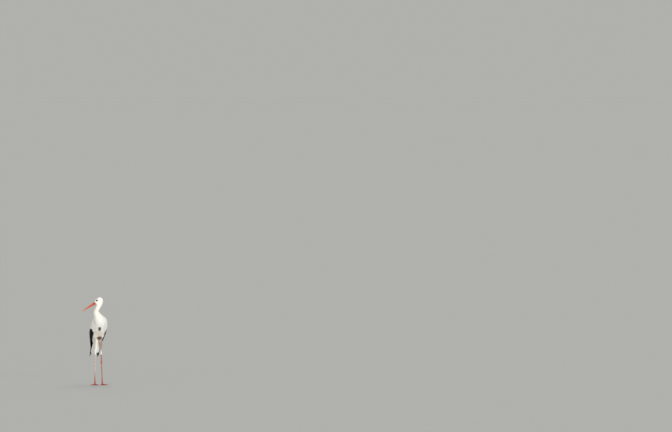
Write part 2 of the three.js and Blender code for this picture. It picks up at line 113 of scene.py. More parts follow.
# For the same sections: length and width of a feather, depth of the coat, how far its tip stands up.
COAT = np.array((
    (4.2, 1.6, 0.5, 0.05),
    (5.2, 1.7, 0.6, 0.05),
    (6.2, 1.9, 0.7, 0.05),
    (7.0, 2.1, 0.8, 0.05),
    (8.0, 2.3, 0.85, 0.05),
    (9.0, 2.5, 0.9, 0.1),
    (10.5, 2.7, 0.95, 0.1),
    (12.0, 3.0, 1.0, 0.15),
    (15.0, 3.4, 1.2, 0.2),
    (19.0, 4.0, 1.5, 0.25),
    (24.0, 4.8, 1.8, 0.3),
    (30.0, 5.8, 2.2, 0.35),
    (38.0, 7.2, 2.6, 0.45),
    (48.0, 8.8, 3.0, 0.5),
    (52.0, 10.0, 3.2, 0.5),
    (50.0, 12.0, 3.3, 0.5),
    (44.0, 14.5, 3.3, 0.5),
    (40.0, 17.0, 3.2, 0.5),
    (40.0, 18.0, 3.2, 0.5),
    (40.0, 18.0, 3.0, 0.5),
    (38.0, 16.0, 2.8, 0.5),
    (36.0, 14.0, 2.2, 0.5),
))
SECTIONS = len(BODY) - 1
# Shares of the way along them where the face gives way to the nape, the head's short feathers to the
# neck's, and the neck to the breast.
FACE_LAST, HEAD_LAST, NECK_LAST = (section / SECTIONS for section in (4.3, 8.4, 11.6))

# Back, height, half width, dorsal and ventral radius of the body there, thickness of the wing, first and
# last angle that it covers, from the middle of the back round to the flank.
WING = np.array((
    (-126, 680, 62, 52, 62, 1, 60, 88),
    (-98, 660, 69, 67, 78, 6, 42, 106),
    (-48, 620, 74, 76, 87, 9, 20, 119),
    (5, 578, 75, 77, 86, 9, 7, 123),
    (60, 532, 73, 70, 76, 9, 1.5, 118),
    (115, 485, 66, 55, 58, 8, 1.5, 110),
    (170, 435, 54, 38, 42, 7, 1.5, 102),
    (225, 382, 42, 22, 30, 6, 2, 98),
    (272, 335, 31, 12, 20, 4, 10, 92),
    (300, 306, 20, 8, 12, 2.5, 40, 84),
), float)
# How far each wing hangs out from the body along its length; the right one is held a little looser.
SPREAD = {
    "left": np.array((0, 0, 1, 1, 1, 2, 3, 4, 5, 6.0)),
    "right": np.array((0, 1, 3, 6, 8, 8, 8, 9, 11, 13.0)),
}
# Free tips of the longest flight feathers: share of the wing where they part from it, share that they
# reach, angle, half width.
PRIMARIES = ((0.78, 1.0, 46, 11), (0.8, 1.035, 60, 10), (0.78, 1.02, 74, 10))
PRIMARY_HIDDEN = 70  # of a primary, under the wing
WING_LENGTH = 605  # along the middle of a folded wing
WING_SPINE = 620  # along the line that its sections are strung on
COVERT_PACE = 600  # of wing for each unit of t, where coverts are kept behind the white edge

# Back, height, half width, upper and lower radius of the tail.
TAIL = np.array((
    (120, 458, 26, 16, 20),
    (158, 428, 35, 15, 21),
    (205, 388, 39, 9, 13),
    (250, 348, 42, 4.5, 6),
    (280, 321, 42, 2.2, 2.4),
    (291, 311, 36, 1, 1),
), float)

# Share of the bill, half width, half depth.
BILL = np.array((
    (0, 12, 14.6),
    (0.15, 10.2, 12.2),
    (0.4, 7.4, 9),
    (0.7, 4.6, 5.8),
    (0.92, 2.2, 2.7),
    (1, 0.6, 0.6),
))

# Aside from the leg's middle, back, height, radius across, radius fore and aft.
THIGH = np.array((
    (-19, 8, 530, 17, 30),
    (-18.5, 14, 480, 17.8, 33),
    (-17.5, 21, 430, 18.2, 28),
    (-14, 26, 380, 14.5, 19),
    (-10, 29, 342, 10, 12),
    (-8, 31, 322, 7.5, 8.5),
))
SHANK = np.array((
    (-8.5, 31, 336, 5.6, 6.4),
    (-6.2, 32, 285, 5.4, 6),
    (-4.8, 33.5, 252, 6.2, 7.2),
    (-4, 34, 226, 8.4, 10),
    (-3.2, 31, 198, 5.2, 6.4),
    (-1.6, 25, 130, 4.4, 5),
    (-0.5, 17, 65, 4.6, 5),
    (0, 12, 12, 7.4, 6.6),
))
# Angle outward from straight ahead, length, number of joints.
TOES = {"middle": (7, 80, 3), "inner": (-24, 62, 2), "outer": (43, 70, 4), "hind": (172, 36, 1)}

FLOOR_REACH = 2500  # metres from the middle of the floor to its sides

# Seeds of the random draws: a left tract takes its seed plus 1, a right one its seed less 1.
THIGH_SEED, COLLAR_SEED, WHITES_SEED, BLACKS_SEED, TAIL_SEED = 20, 30, 40, 60, 80
# Steps that spread the roots of feathers evenly, for the order along, the order round and the thinning.
STEP_ALONG, STEP_ROUND, STEP_KEEP = 0.7548776662, 0.5698402910, 0.4142135624


# ---------------------------------------------------------------- working out shapes


def unit(vectors):
    return vectors / np.maximum(np.linalg.norm(vectors, axis=-1, keepdims=True), 1e-12)


def smooth(x, low, high):
    """0 below low, 1 above high, and the cubic 3s^2 - 2s^3 between."""
    s = np.clip((x - low) / (high - low), 0, 1)
    return s * s * (3 - 2 * s)


def through(rows, t):
    """Evenly spaced rows joined by cubics, with t from 0 to 1 along them.

    The slope at a row is half the step from the row before it to the row after it. Past either end the
    curve goes straight on.
    """
    rows = np.asarray(rows, float)
    flat = rows.ndim == 1
    rows = rows[:, None] if flat else rows
    last = len(rows) - 1
    padded = np.vstack((2 * rows[0] - rows[1], rows, 2 * rows[-1] - rows[-2]))
    place = np.asarray(t, float) * last
    inside = np.clip(place, 0, last)
    i = np.minimum(inside.astype(int), last - 1)
    w = (inside - i)[..., None]
    before, start, end, after = (padded[i + k] for k in range(4))
    leave, arrive = (end - before) / 2, (after - start) / 2
    square, cube = 3 * (end - start) - 2 * leave - arrive, 2 * (start - end) + leave + arrive
    value = start + w * (leave + w * (square + w * cube))
    beyond = (place - inside)[..., None]
    value = value + beyond * np.where(beyond > 0, rows[-1] - rows[-2], rows[1] - rows[0])
    return value[..., 0] if flat else value


def slope(rows, t):
    """Direction of the curve through rows at t, from its step over a hundredth of a row."""
    step = 0.01 / len(rows)
    return unit(through(rows, t + step) - through(rows, t - step))


yaw, pitch = np.radians((HEAD_YAW, HEAD_PITCH))
FORWARD = np.array((-np.sin(yaw) * np.cos(pitch), -np.cos(yaw) * np.cos(pitch), -np.sin(pitch)))
LEFT = unit(np.cross((0, 0, 1), FORWARD))
UP = np.cross(FORWARD, LEFT)
MID_EYE = BILL_BASE - EYE_BACK * FORWARD + EYE_RISE * UP


def middle_of(solid):
    low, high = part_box(solid)
    return np.array((low + high) / 2)


ORIGIN = (middle_of("eye_left") + middle_of("eye_right")) / 2 - MID_EYE * MM


def body_surface(t, turn, lift=0.0):
    """Head, neck and trunk in one: t runs from the bill to the tail, turn is 0 on the crown and back.

    A section is two half ellipses about its middle: half width times the sine of turn to the side, and
    dorsal or ventral radius times its cosine up or down. lift is added to all three radii.
    """
    t, turn = np.broadcast_arrays(t, turn)
    row = through(BODY, t)
    side_angle, lean = np.radians(row[..., 3]), np.radians(row[..., 4])
    none = np.zeros_like(lean)
    side = np.stack((np.cos(side_angle), np.sin(side_angle), none), -1)
    up = np.stack((-np.sin(side_angle) * np.cos(lean), np.cos(side_angle) * np.cos(lean), np.sin(lean)), -1)
    deep = np.where(np.cos(turn) > 0, row[..., 6], row[..., 7]) + lift
    half = row[..., 5] + lift
    return row[..., :3] + side * (half * np.sin(turn))[..., None] + up * (deep * np.cos(turn))[..., None]


def fullness(share):
    """Thickness of a wing at a share of its width: a quarter at both edges, 1 in the middle."""
    return 0.25 + 0.75 * np.sqrt(np.maximum(np.sin(np.pi * np.clip(share, 0, 1)), 0))


def wing_surface(side):
    """Surface of one folded wing: t runs from the wrist to the tip, share from the back to the flank.

    At each t the wing follows the body's oval between its first and last angle, raised by its thickness
    and pushed out by the wing's spread. Past its end it goes straight on.
    """
    sign = SIDES[side]

    def surface(t, share, lift=0.0):
        t, share = np.broadcast_arrays(t, share)
        row = through(WING, np.minimum(t, 1))
        along = slope(WING[:, :2], np.minimum(t, 1))
        angle = np.radians(row[..., 6] + (row[..., 7] - row[..., 6]) * share)
        raised = row[..., 5] * fullness(share) + lift
        free = smooth(t, TIP_FREE, 1)
        away = through(SPREAD[side], np.minimum(t, 1)) * (np.sin(angle) * (1 - free) + free)
        x = sign * ((row[..., 2] + raised) * np.sin(angle) + away)
        height = (np.where(np.cos(angle) > 0, row[..., 3], row[..., 4]) + raised) * np.cos(angle)
        past = np.maximum(t - 1, 0) * WING_SPINE
        y = row[..., 0] - along[..., 1] * height + along[..., 0] * past
        z = row[..., 1] + along[..., 0] * height + along[..., 1] * past
        return np.stack((x, y, z), -1)

    return surface


def limb_surface(rows, sign):
    """Surface of a leg's length: t runs down it, turn is 0 at its back and goes round by its left."""

    def surface(t, turn, lift=0.0):
        t, turn = np.broadcast_arrays(t, turn)
        row = through(rows, t)
        down = slope(rows[:, 1:3], t)
        x = sign * (LEG_SPACING / 2 + row[..., 0]) + (row[..., 3] + lift) * np.sin(turn)
        deep = (row[..., 4] + lift) * np.cos(turn)
        return np.stack((x, row[..., 1] - down[..., 1] * deep, row[..., 2] + down[..., 0] * deep), -1)

    return surface


def tail_surface(t, turn, lift=0.0):
    """Surface of the tail's oval sections: t runs to its end, turn is 0 on top."""
    t, turn = np.broadcast_arrays(t, turn)
    row = through(TAIL, t)
    along = slope(TAIL[:, :2], t)
    deep = (np.maximum(np.where(np.cos(turn) > 0, row[..., 3], row[..., 4]), 0.5) + lift) * np.cos(turn)
    x = (row[..., 2] + lift) * np.sin(turn)
    return np.stack((x, row[..., 0] - along[..., 1] * deep, row[..., 1] + along[..., 0] * deep), -1)


def fan_surface(t, aside, lift=0.0):
    """Middle sheet of the fanned tail: aside is in mm across, and its sides bow down a little."""
    t, aside = np.broadcast_arrays(t, aside)
    row = through(TAIL, t)
    along = slope(TAIL[:, :2], t)
    raised = lift + 2.0 - 3.5 * (aside / 42) ** 2
    return np.stack((aside, row[..., 0] - along[..., 1] * raised, row[..., 1] + along[..., 0] * raised), -1)


# ---------------------------------------------------------------- meshes from arrays


def shells(points, ends):
    """Closed shells from rings of points (shell, ring, side, 3) and their two end points (shell, 2, 3).

    Shells that would come out with a negative volume have their faces turned round.
    """
    count, rings, sides, _ = points.shape
    size = rings * sides + 2
    places = np.concatenate((ends[:, :1], points.reshape(count, -1, 3), ends[:, 1:]), 1)
    ring = np.arange(rings * sides).reshape(rings, sides) + 1
    following = np.roll(ring, -1, 1)
    quads = np.stack((ring[:-1], following[:-1], following[1:], ring[1:]), -1).reshape(-1, 4)
    first, last = np.zeros(sides, int), np.full(sides, size - 1)
    tris = np.concatenate((
        np.stack((first, following[0], ring[0]), -1),
        np.stack((ring[-1], following[-1], last), -1),
    ))
    local = places - places.mean(1, keepdims=True)
    halves = np.concatenate((quads[:, :3], quads[:, [0, 2, 3]], tris))
    a, b, c = (local[:, halves[:, k]] for k in range(3))
    inside_out = (a * np.cross(b, c)).sum((1, 2)) < 0
    offset = (np.arange(count) * size)[:, None, None]

    def turned(faces):
        faces = faces[None] + offset
        return np.where(inside_out[:, None, None], faces[..., ::-1], faces).reshape(-1, faces.shape[-1])

    return {"points": places.reshape(-1, 3), "quads": turned(quads), "tris": turned(tris)}


def capped(points):
    """One closed shell from rings of points (ring, side, 3), with its ends closed on their middles."""
    return shells(points[None], np.stack((points[0].mean(0), points[-1].mean(0)))[None])


def loft(surface, rings, sides, first=0.0, last=1.0, **carried):
    """One closed shell from a surface of (t, turn), carrying at its points other functions of (t, turn)."""
    t = np.linspace(first, last, rings)[:, None]
    turn = (np.arange(sides) / sides * TAU)[None]
    made = capped(surface(t, turn))
    for name, value in carried.items():
        full = np.broadcast_to(value(t, turn), (rings, sides))
        made[name] = np.concatenate(([full[0].mean()], full.ravel(), [full[-1].mean()]))
    return made


def joined(parts):
    """Several meshes as one, keeping what they all carry."""
    offsets = np.cumsum([0] + [len(part["points"]) for part in parts[:-1]])
    whole = {key: np.concatenate([part[key] for part in parts]) for key in parts[0]}
    for key in ("quads", "tris"):
        whole[key] = np.concatenate([part[key] + offset for part, offset in zip(parts, offsets)])
    return whole


def vanes(surface, u, v, length, width, unwrap, turn=0.0, root=-4.0, tip=0.0, tilt=0.0, curl=0.0, bend=0.0,
          camber=0.12, thick=0.5, outline=(0.35, 3.0, 0.6), rings=5, sides=4, tone=0.5, last=None):
    """Feathers as thin closed blades lying on a surface, one for each root place (u, v).

    A point of a blade is a share s along it and x across it from -1 to 1. Its half width is half of width
    times min(1, s / a) ^ 0.6 times (1 - s ^ p) ^ q, with outline = (a, p, q). It is laid down from the root
    by its distances along and across, over the surface's own millimetres for each unit of u and v, turned
    by turn from the way of u, or so that its tip comes to u = last. It rises from root to tip with
    1 - (1 - s) ^ 2.4, less camber times the half width times x squared, plus tilt times x, curl times s
    cubed and its own thickness. unwrap turns a root place into the unit square of the skin's own map.
    """
    spread = [np.broadcast_to(np.asarray(value, float), u.shape) for value in
              (length, width, turn, root, tip, tilt, curl, bend, camber, thick, tone)]
    length, width, turn, root, tip, tilt, curl, bend, camber, thick, tone = spread
    step = 1e-3

    def pace(at_u, at_v, du, dv):
        """Millimetres of surface for each unit of u or v, at a place."""
        there = surface(at_u + du * step, at_v + dv * step, at_root(at_u))
        return np.linalg.norm(there - surface(at_u, at_v, at_root(at_u)), axis=-1) / step

    def at_root(like):
        return root.reshape(root.shape + (1,) * (like.ndim - 1))

    near_u = pace(u, v, 1, 0)
    half_way = u + 0.5 * length * np.cos(turn) / near_u
    pace_u = (near_u + pace(half_way, v, 1, 0)) / 2 if last is None else length / (last - u)

    ring = np.arange(rings + 2) / (rings + 1)
    s = (0.5 - 0.5 * np.cos(np.pi * ring)) ** 0.9
    if sides == 4:
        x, body = np.array((-1, 0, 1, 0.0)), np.array((0, 1, 0, -1.0))
    else:
        x, body = np.array((-1, -0.55, 0, 0.55, 1, 0.0)), np.array((0, 0.7, 1, 0.7, 0, -1.0))
    a, p, q = (np.broadcast_to(np.asarray(value, float), u.shape)[:, None] for value in outline)
    shape = np.minimum(1, s / a) ** 0.6 * np.maximum(1 - s**p, 0) ** q
    along = length[:, None] * s
    half = width[:, None] / 2 * shape
    across = half[..., None] * x
    sweep = (bend[:, None] * along * s)[..., None] + across
    run = np.broadcast_to(along[..., None], sweep.shape)
    cos, sin = np.cos(turn)[:, None, None], np.sin(turn)[:, None, None]
    to_u = u[:, None, None] + (run * cos - sweep * sin) / pace_u[:, None, None]
    middle_u = u[:, None] + along * np.cos(turn)[:, None] / pace_u[:, None]
    pace_v = np.maximum(pace(middle_u, np.broadcast_to(v[:, None], middle_u.shape), 0, 1), 1e-3)
    to_v = v[:, None, None] + (run * sin + sweep * cos) / pace_v[..., None]
    rise = root[:, None] + (tip - root)[:, None] * (1 - (1 - s) ** 2.4) + curl[:, None] * s**3
    lift = rise[..., None] + tilt[:, None, None] * x * shape[..., None]
    lift = lift - (camber[:, None] * half)[..., None] * x**2
    lift = lift + (thick[:, None] / 2 * np.minimum(1, 4 * shape))[..., None] * body
    points = surface(to_u, to_v, lift)
    made = shells(points[:, 1:-1], points[:, [0, -1], 0])

    def each(values):
        """A value for each point of the rings (feather, ring, side) in the order of the shells' points."""
        values = np.broadcast_to(values, points.shape[:-1])
        middle = values[:, 1:-1].reshape(len(u), -1)
        return np.concatenate((values[:, 0, :1], middle, values[:, -1, :1]), 1).ravel()

    bake_u, bake_v = unwrap(u, v)
    made["tone"] = each(tone[:, None, None])
    made["vane"] = np.stack((each(across), each(run)), -1) * MM
    made["bake"] = np.stack((
        each(bake_u[:, None, None] + 0.0015 * x * np.ones_like(run)),
        each(bake_v[:, None, None] + 0.003 * (s[:, None] - 0.5) * np.ones_like(run)),
    ), -1)
    made["rim"] = each((np.abs(x) == 1) | (s[:, None] == 0) | (s[:, None] == 1)).astype(bool)
    return made


def new_piece(name, part, material, replaces=()):
    """Puts a mesh of arrays in the scene, in metres, riding on the root body."""
    mesh = bpy.data.meshes.new(name)
    mesh.vertices.add(len(part["points"]))
    mesh.vertices.foreach_set("co", (part["points"] * MM + ORIGIN).astype(np.float32).ravel())
    corners = np.concatenate((part["quads"].ravel(), part["tris"].ravel())).astype(np.int32)
    quad_count, tri_count = len(part["quads"]), len(part["tris"])
    starts = np.concatenate((np.arange(quad_count) * 4, quad_count * 4 + np.arange(tri_count) * 3))
    mesh.loops.add(len(corners))
    mesh.loops.foreach_set("vertex_index", corners)
    mesh.polygons.add(quad_count + tri_count)
    mesh.polygons.foreach_set("loop_start", starts.astype(np.int32))
    mesh.update(calc_edges=True)
    mesh.polygons.foreach_set("use_smooth", np.ones(quad_count + tri_count, bool))
    for key, title in (("vane", "Vane"), ("bake", "OFBake")):
        if key in part:
            layer = mesh.uv_layers.new(name=title)
            layer.uv.foreach_set("vector", part[key][corners].astype(np.float32).ravel())
    for key in ("tone", "dark", "mark", "axis"):
        if key in part:
            carried = mesh.attributes.new(key, "FLOAT", "POINT")
            carried.data.foreach_set("value", part[key].astype(np.float32))
    if "rim" in part:
        ends = np.empty(len(mesh.edges) * 2, np.int32)
        mesh.edges.foreach_get("vertices", ends)
        sharp = part["rim"][ends].reshape(-1, 2).all(1)
        mesh.attributes.new("sharp_edge", "BOOLEAN", "EDGE").data.foreach_set("value", sharp)
    mesh.validate()
    mesh.materials.append(material)
    piece = bpy.data.objects.new(name, mesh)
    bpy.context.scene.collection.objects.link(piece)
    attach(piece, "root")
    if replaces:
        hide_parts(*replaces)
    return piece


# ---------------------------------------------------------------- materials


def linear(code):
    """Linear red, green and blue of an sRGB hex colour."""
    parts = np.array([int(code[i:i + 2], 16) for i in (0, 2, 4)]) / 255
    return tuple(np.where(parts <= 0.04045, parts / 12.92, ((parts + 0.055) / 1.055) ** 2.4).tolist())


def node(tree, kind, inputs=(), out=0, **settings):
    """Adds a shader node, sets its properties, sets or links its inputs, and gives one of its outputs.

    The inputs come by name or number, or as a row from the first one on.
    """
    new = tree.nodes.new("ShaderNode" + kind)
    for key, value in settings.items():
        setattr(new, key, value)
    for key, value in (inputs if isinstance(inputs, dict) else dict(enumerate(inputs))).items():
        if isinstance(value, bpy.types.NodeSocket):
            tree.links.new(value, new.inputs[key])
        elif new.inputs[key].type == "RGBA":
            new.inputs[key].default_value = (*value, 1)
        else:
            new.inputs[key].default_value = value
    return new.outputs[out] if new.outputs else new


def new_material(name):
    """An empty material, its node tree and the bird's colours."""
    material = bpy.data.materials.new(name)
    material.use_nodes = True
    material.node_tree.nodes.clear()
    return material, material.node_tree, bpy.context.scene.stork_colours


def shaded(material, colour, settings, height=None, strength=0.0, depth_mm=0.0):
    """Ends a material in one Principled shader: its colour, its own settings, and any relief it has."""
    tree = material.node_tree
    shader = node(tree, "BsdfPrincipled", {"Base Color": colour, **settings})
    if height:
        relief = node(tree, "Bump", {"Strength": strength, "Distance": depth_mm * MM, "Height": height})
        tree.links.new(relief, shader.node.inputs["Normal"])
    node(tree, "OutputMaterial", (shader,), is_active_output=True)
    return material


def layered(tree, base, *layers):
    """Colours laid over one another, as coats of paint are.

    A layer is its colour, the pattern that spreads it, the values of the pattern between which it comes in
    smoothly, and its greatest share. Without those values the pattern itself is the share.
    """
    for colour, pattern, *fade in layers:
        if fade:
            low, high, most = fade
            pattern = node(tree, "MapRange", (pattern, low, high, 0, most), interpolation_type="SMOOTHSTEP")
        base = node(tree, "Mix", {0: pattern, 6: base, 7: colour}, out=2, data_type="RGBA")
    return base


def mottle(tree, size_mm, detail=3.0):
    """Uneven patches about size_mm across, from 0 to 1, on the object's own place."""
    place = node(tree, "TexCoord", out="Object")
    return node(tree, "TexNoise", {"Vector": place, "Scale": 1000 / size_mm, "Detail": detail}, out="Fac")


def blob(tree, centre, radii, size_mm, ragged):
    """Distance from a place on the bird: 1 on an ellipsoid of these radii in mm, made ragged by patches."""
    moved = node(tree, "Mapping", {
        "Vector": node(tree, "TexCoord", out="Object"),
        "Location": tuple(np.array(centre) * MM + ORIGIN),
        "Scale": tuple(radius * MM for radius in radii),
    }, vector_type="TEXTURE")
    distance = node(tree, "VectorMath", (moved,), out=1, operation="LENGTH")
    uneven = node(tree, "Math", (mottle(tree, size_mm), ragged, -ragged / 2), operation="MULTIPLY_ADD")
    return node(tree, "Math", (distance, uneven), operation="ADD")


def plumage_white(tree, base, colours):
    """The white of skin and coat alike: cream on the neck, buff stains on the belly and thighs, brown dirt on
    the left thigh, painted shade in a dark brown arch under the belly between the thighs, and a dark spot on
    the lower breast.

    Each mark is its colour, its greatest share, its middle and radii in mm, the size of the patches that
    break its edge, and how much they do.
    """
    neck = blob(tree, (-38, -150, 775), (60, 60, 70), 16, 0.5)
    base = layered(tree, base, (colours.cream, neck, 2.0, 0.2, 0.35))
    for colour, most, *place in (
        (colours.stain, 0.6, (-10, -96, 518), (40, 75, 56), 22, 1.5),
        (colours.stain, 0.3, (0, -10, 440), (75, 45, 50), 18, 1.5),
        # Brown dirt down the left thigh.
        (colours.dirt_and_shade, 0.85, (22, 0, 412), (24, 50, 84), 14, 1.2),
        # Painted shade: a dark brown arch under the belly, between the tops of the thighs, in two layers.
        (colours.dirt_and_shade, 0.9, (4, -30, 484), (34, 60, 24), 12, 1.2),
        (colours.dark_spot_and_shade, 0.85, (6, -32, 483), (26, 50, 17), 9, 1.0),
        # A dark grey-brown spot on the lower breast.
        (colours.dark_spot_and_shade, 1.0, (-10, -130, 586), (17, 40, 33), 9, 0.9),
    ):
        base = layered(tree, base, (colour, blob(tree, *place), 1.3, 0.4, most))
    return base


def barbs(tree, pitch_mm, sweep):
    """Height of a feather's barbs, with the shaft as a ridge among them, and the distance from the shaft.

    The barbs run back by sweep for each step aside. Real ones stand 0.5 mm apart; they are drawn pitch_mm
    apart, so that they show.
    """
    place = node(tree, "SeparateXYZ", (node(tree, "UVMap", uv_map="Vane"),)).node.outputs
    aside = node(tree, "Math", (place[0],), operation="ABSOLUTE")
    back = node(tree, "Math", (aside, -sweep, place[1]), operation="MULTIPLY_ADD")
    turns = node(tree, "Math", (back, TAU / (pitch_mm * MM)), operation="MULTIPLY")
    wave = node(tree, "Math", (turns,), operation="SINE")
    shaft = node(tree, "MapRange", (aside, 0.9 * MM, 0.2 * MM), interpolation_type="SMOOTHSTEP")
    return node(tree, "Math", (wave, 0.3, shaft), operation="MULTIPLY_ADD"), aside


def white_feathers(name, pitch_mm, sweep):
    """White contour feathers, keratin full of air: matt and bright, softly glossy along the barbs."""
    material, tree, colours = new_material(name)
    tone = node(tree, "Attribute", out="Fac", attribute_name="tone")
    base = layered(tree, colours.white_shade, (colours.white, tone))
    return shaded(material, plumage_white(tree, base, colours), {
        "Roughness": 0.72, "IOR": 1.45, "Specular IOR Level": 0.3,
        "Sheen Weight": 0.15, "Sheen Roughness": 0.5,
    }, barbs(tree, pitch_mm, sweep)[0], 0.25, 0.4)


def contour_white():
    """The white of the larger feathers, made once for the coat and the wings."""
    name = "white_contour_feathers"
    return bpy.data.materials.get(name) or white_feathers(name, 1.6, 2.0)


def black_feathers(name, pitch_mm, sweep):
    """Black flight feathers, melanin in smooth keratin: a low gloss, with a faint grey bloom by the edges."""
    material, tree, colours = new_material(name)
    tone = node(tree, "Attribute", out="Fac", attribute_name="tone")
    height, aside = barbs(tree, pitch_mm, sweep)
    base = layered(
        tree, colours.black,
        (colours.black_bloom, tone),
        (colours.black_bloom, aside, 7 * MM, 13 * MM, 0.5),
        (colours.shaft, aside, 0.9 * MM, 0.2 * MM, 0.6),
    )
    settings = {"Roughness": 0.6, "IOR": 1.5, "Specular IOR Level": 0.12}
    return shaded(material, base, settings, height, 0.3, 0.4)


def downy_skin():
    """Skin under down: white where the coat is white, black under the flight feathers, and bare, dark and
    finely wrinkled round the eyes."""
    material, tree, colours = new_material("downy_skin")
    dark = node(tree, "Attribute", out="Fac", attribute_name="dark")
    white = plumage_white(tree, colours.white_shade, colours)
    base = layered(tree, white, (colours.bare, dark, 0.35, 0.65, 1))
    grain = node(tree, "Math", (mottle(tree, 6), 0.6, mottle(tree, 1.6)), operation="MULTIPLY_ADD")
    settings = {"Roughness": 0.7, "IOR": 1.42, "Specular IOR Level": 0.3}
    return shaded(material, base, settings, grain, 0.5, 0.6)


def along_bill(tree):
    """Fibres of the horn: patches drawn out along the bill, 0.8 mm wide and about 16 mm long."""
    turned = node(tree, "Mapping", {
        "Vector": node(tree, "TexCoord", out="Object"),
        "Rotation": Vector(FORWARD).to_track_quat("X", "Z").to_euler(),
        "Scale": (16 * MM, 0.8 * MM, 0.8 * MM),
    }, vector_type="TEXTURE")
    return node(tree, "TexNoise", {"Vector": turned, "Scale": 1.0, "Detail": 3.0}, out="Fac")


def bill_horn():
    """Horn sheath of the bill: smooth, waxy, orange-red, darker at the base, worn paler to the tip."""
    material, tree, colours = new_material("bill_horn")
    along = node(tree, "Attribute", out="Fac", attribute_name="axis")
    slit = node(tree, "Attribute", out="Fac", attribute_name="mark")
    fibre = along_bill(tree)
    base = layered(
        tree, colours.bill_base,
        (colours.bill, along, 0.0, 0.3, 1),
        (colours.bill_tip, along, 0.55, 1.0, 0.7),
        (colours.bill_base, mottle(tree, 7, 5.0), 0.5, 0.75, 0.35),
        (colours.bill_tip, fibre, 0.5, 0.8, 0.35),
        # Painted shade inside the nostril slits.
        (colours.slit, slit, 0.25, 0.7, 1),
    )
    fibre = node(tree, "Math", (fibre, 2.0), operation="MULTIPLY")
    grain = node(tree, "Math", (mottle(tree, 1.2), 0.5, fibre), operation="MULTIPLY_ADD")
    return shaded(material, base, {
        "Roughness": 0.42, "IOR": 1.54, "Coat Weight": 0.08, "Coat Roughness": 0.3,
    }, grain, 0.3, 0.3)


def scaly_skin(name, bloom):
    """Leg skin of small horny scales: red, darker in the grooves, chalky white where lime has dried on it.

    The chalk comes in from 50 to 160 mm over the floor, in patches that bloom makes larger.
    """
    material, tree, colours = new_material(name)
    height = node(tree, "SeparateXYZ", (node(tree, "TexCoord", out="Object"),), out=2)
    patches = (mottle(tree, 14, 6.0), 0.35 - bloom, 0.95 - bloom, 0, 0.8)
    chalk = node(tree, "MapRange", patches, interpolation_type="SMOOTHSTEP")
    scale = node(tree, "Attribute", out="Fac", attribute_name="mark")
    base = layered(
        tree, colours.leg_groove,
        (colours.leg, scale),
        (colours.chalk, height, 50 * MM, 160 * MM, chalk),
    )
    settings = {"Roughness": 0.5, "IOR": 1.5, "Specular IOR Level": 0.4}
    return shaded(material, base, settings, mottle(tree, 0.8), 0.4, 0.3)


def claw_horn():
    """Nail of solid horn: brown-black, paler and translucent-looking to the tip, lightly scratched."""
    material, tree, colours = new_material("claw_horn")
    along = node(tree, "Attribute", out="Fac", attribute_name="axis")
    base = layered(tree, colours.claw, (colours.claw_tip, along, 0.5, 1.0, 1))
    return shaded(material, base, {"Roughness": 0.4, "IOR": 1.54}, mottle(tree, 1.0), 0.3, 0.2)


def wet_eye():
    """Eye under its tear film: black pupil, dark brown iris with fine streaks, glossy all over."""
    material, tree, colours = new_material("wet_eye")
    axis = node(tree, "Attribute", out="Fac", attribute_name="axis")
    iris = layered(tree, colours.iris_dark, (colours.iris, mottle(tree, 0.5, 2.0), 0.35, 0.65, 1))
    base = layered(tree, colours.pupil, (iris, axis, 0.34, 0.38, 1), (colours.pupil, axis, 0.66, 0.76, 1))
    settings = {"Roughness": 0.06, "IOR": 1.38, "Coat Weight": 0.6, "Coat Roughness": 0.03}
    return shaded(material, base, settings)


def studio_floor():
    """Matt painted board, rolled: a pale neutral grey with a hardly visible orange-peel texture."""
    material, tree, colours = new_material("painted_board")
    settings = {"Roughness": 0.85, "Specular IOR Level": 0.0}
    return shaded(material, colours.floor, settings, mottle(tree, 3), 0.05, 0.3)


# ---------------------------------------------------------------- skin


def bare_patch(points):
    """1 on the bare skin round each eye and in the point from it towards the bill, 0 elsewhere.

    Behind the eye it is half an ellipse; before it, a band that narrows evenly to a point.
    """
    ahead = (points - MID_EYE) @ FORWARD
    above = (points - MID_EYE) @ UP
    aside = np.abs((points - MID_EYE) @ LEFT)
    behind = 1.15 - np.hypot(ahead / 8.6, above / 7.8)
    half = 8.0 * (1 - np.clip(ahead / 23, 0, 1)) ** 1.1
    before = (half - np.abs(above + 0.2 * ahead)) / 8 + 0.15
    value = np.where(ahead < 0, behind, np.where(ahead < 22, before, -1))
    return np.where(aside > 5, smooth(value, 0, 0.3), 0)


def edge_height(y):
    """Height of the edge of the white coverts, for a distance back."""
    return COVERT_EDGE + COVERT_RISE * np.maximum(y, COVERT_LEVEL)


def black_side(points):
    """1 on the parts of the wings that lie under black feathers."""
    return smooth(edge_height(points[..., 1]) - points[..., 2], -4, 4)


def coat_depth(t):
    return through(COAT[:, 2], t)


def wing_plate(side):
    """The fleshy and downy core of a folded wing: out along its top and back along its underside."""
    steps = 16
    t = np.linspace(0.02, 0.78, 50)[:, None]
    out = np.linspace(0.03, 0.97, steps)
    share = np.concatenate((out, out[::-1]))[None]
    thick = through(WING[:, 5], t)
    loose = smooth(t, 0.4, 0.7)
    under = 0.6 * loose - thick * fullness(share) - WING_DEPTH * (1 - loose)
    lift = np.where(np.arange(2 * steps)[None] < steps, -np.minimum(3.6, 0.6 * thick), under)
    made = capped(wing_surface(side)(t, share, lift))
    made["dark"] = black_side(made["points"])
    return made


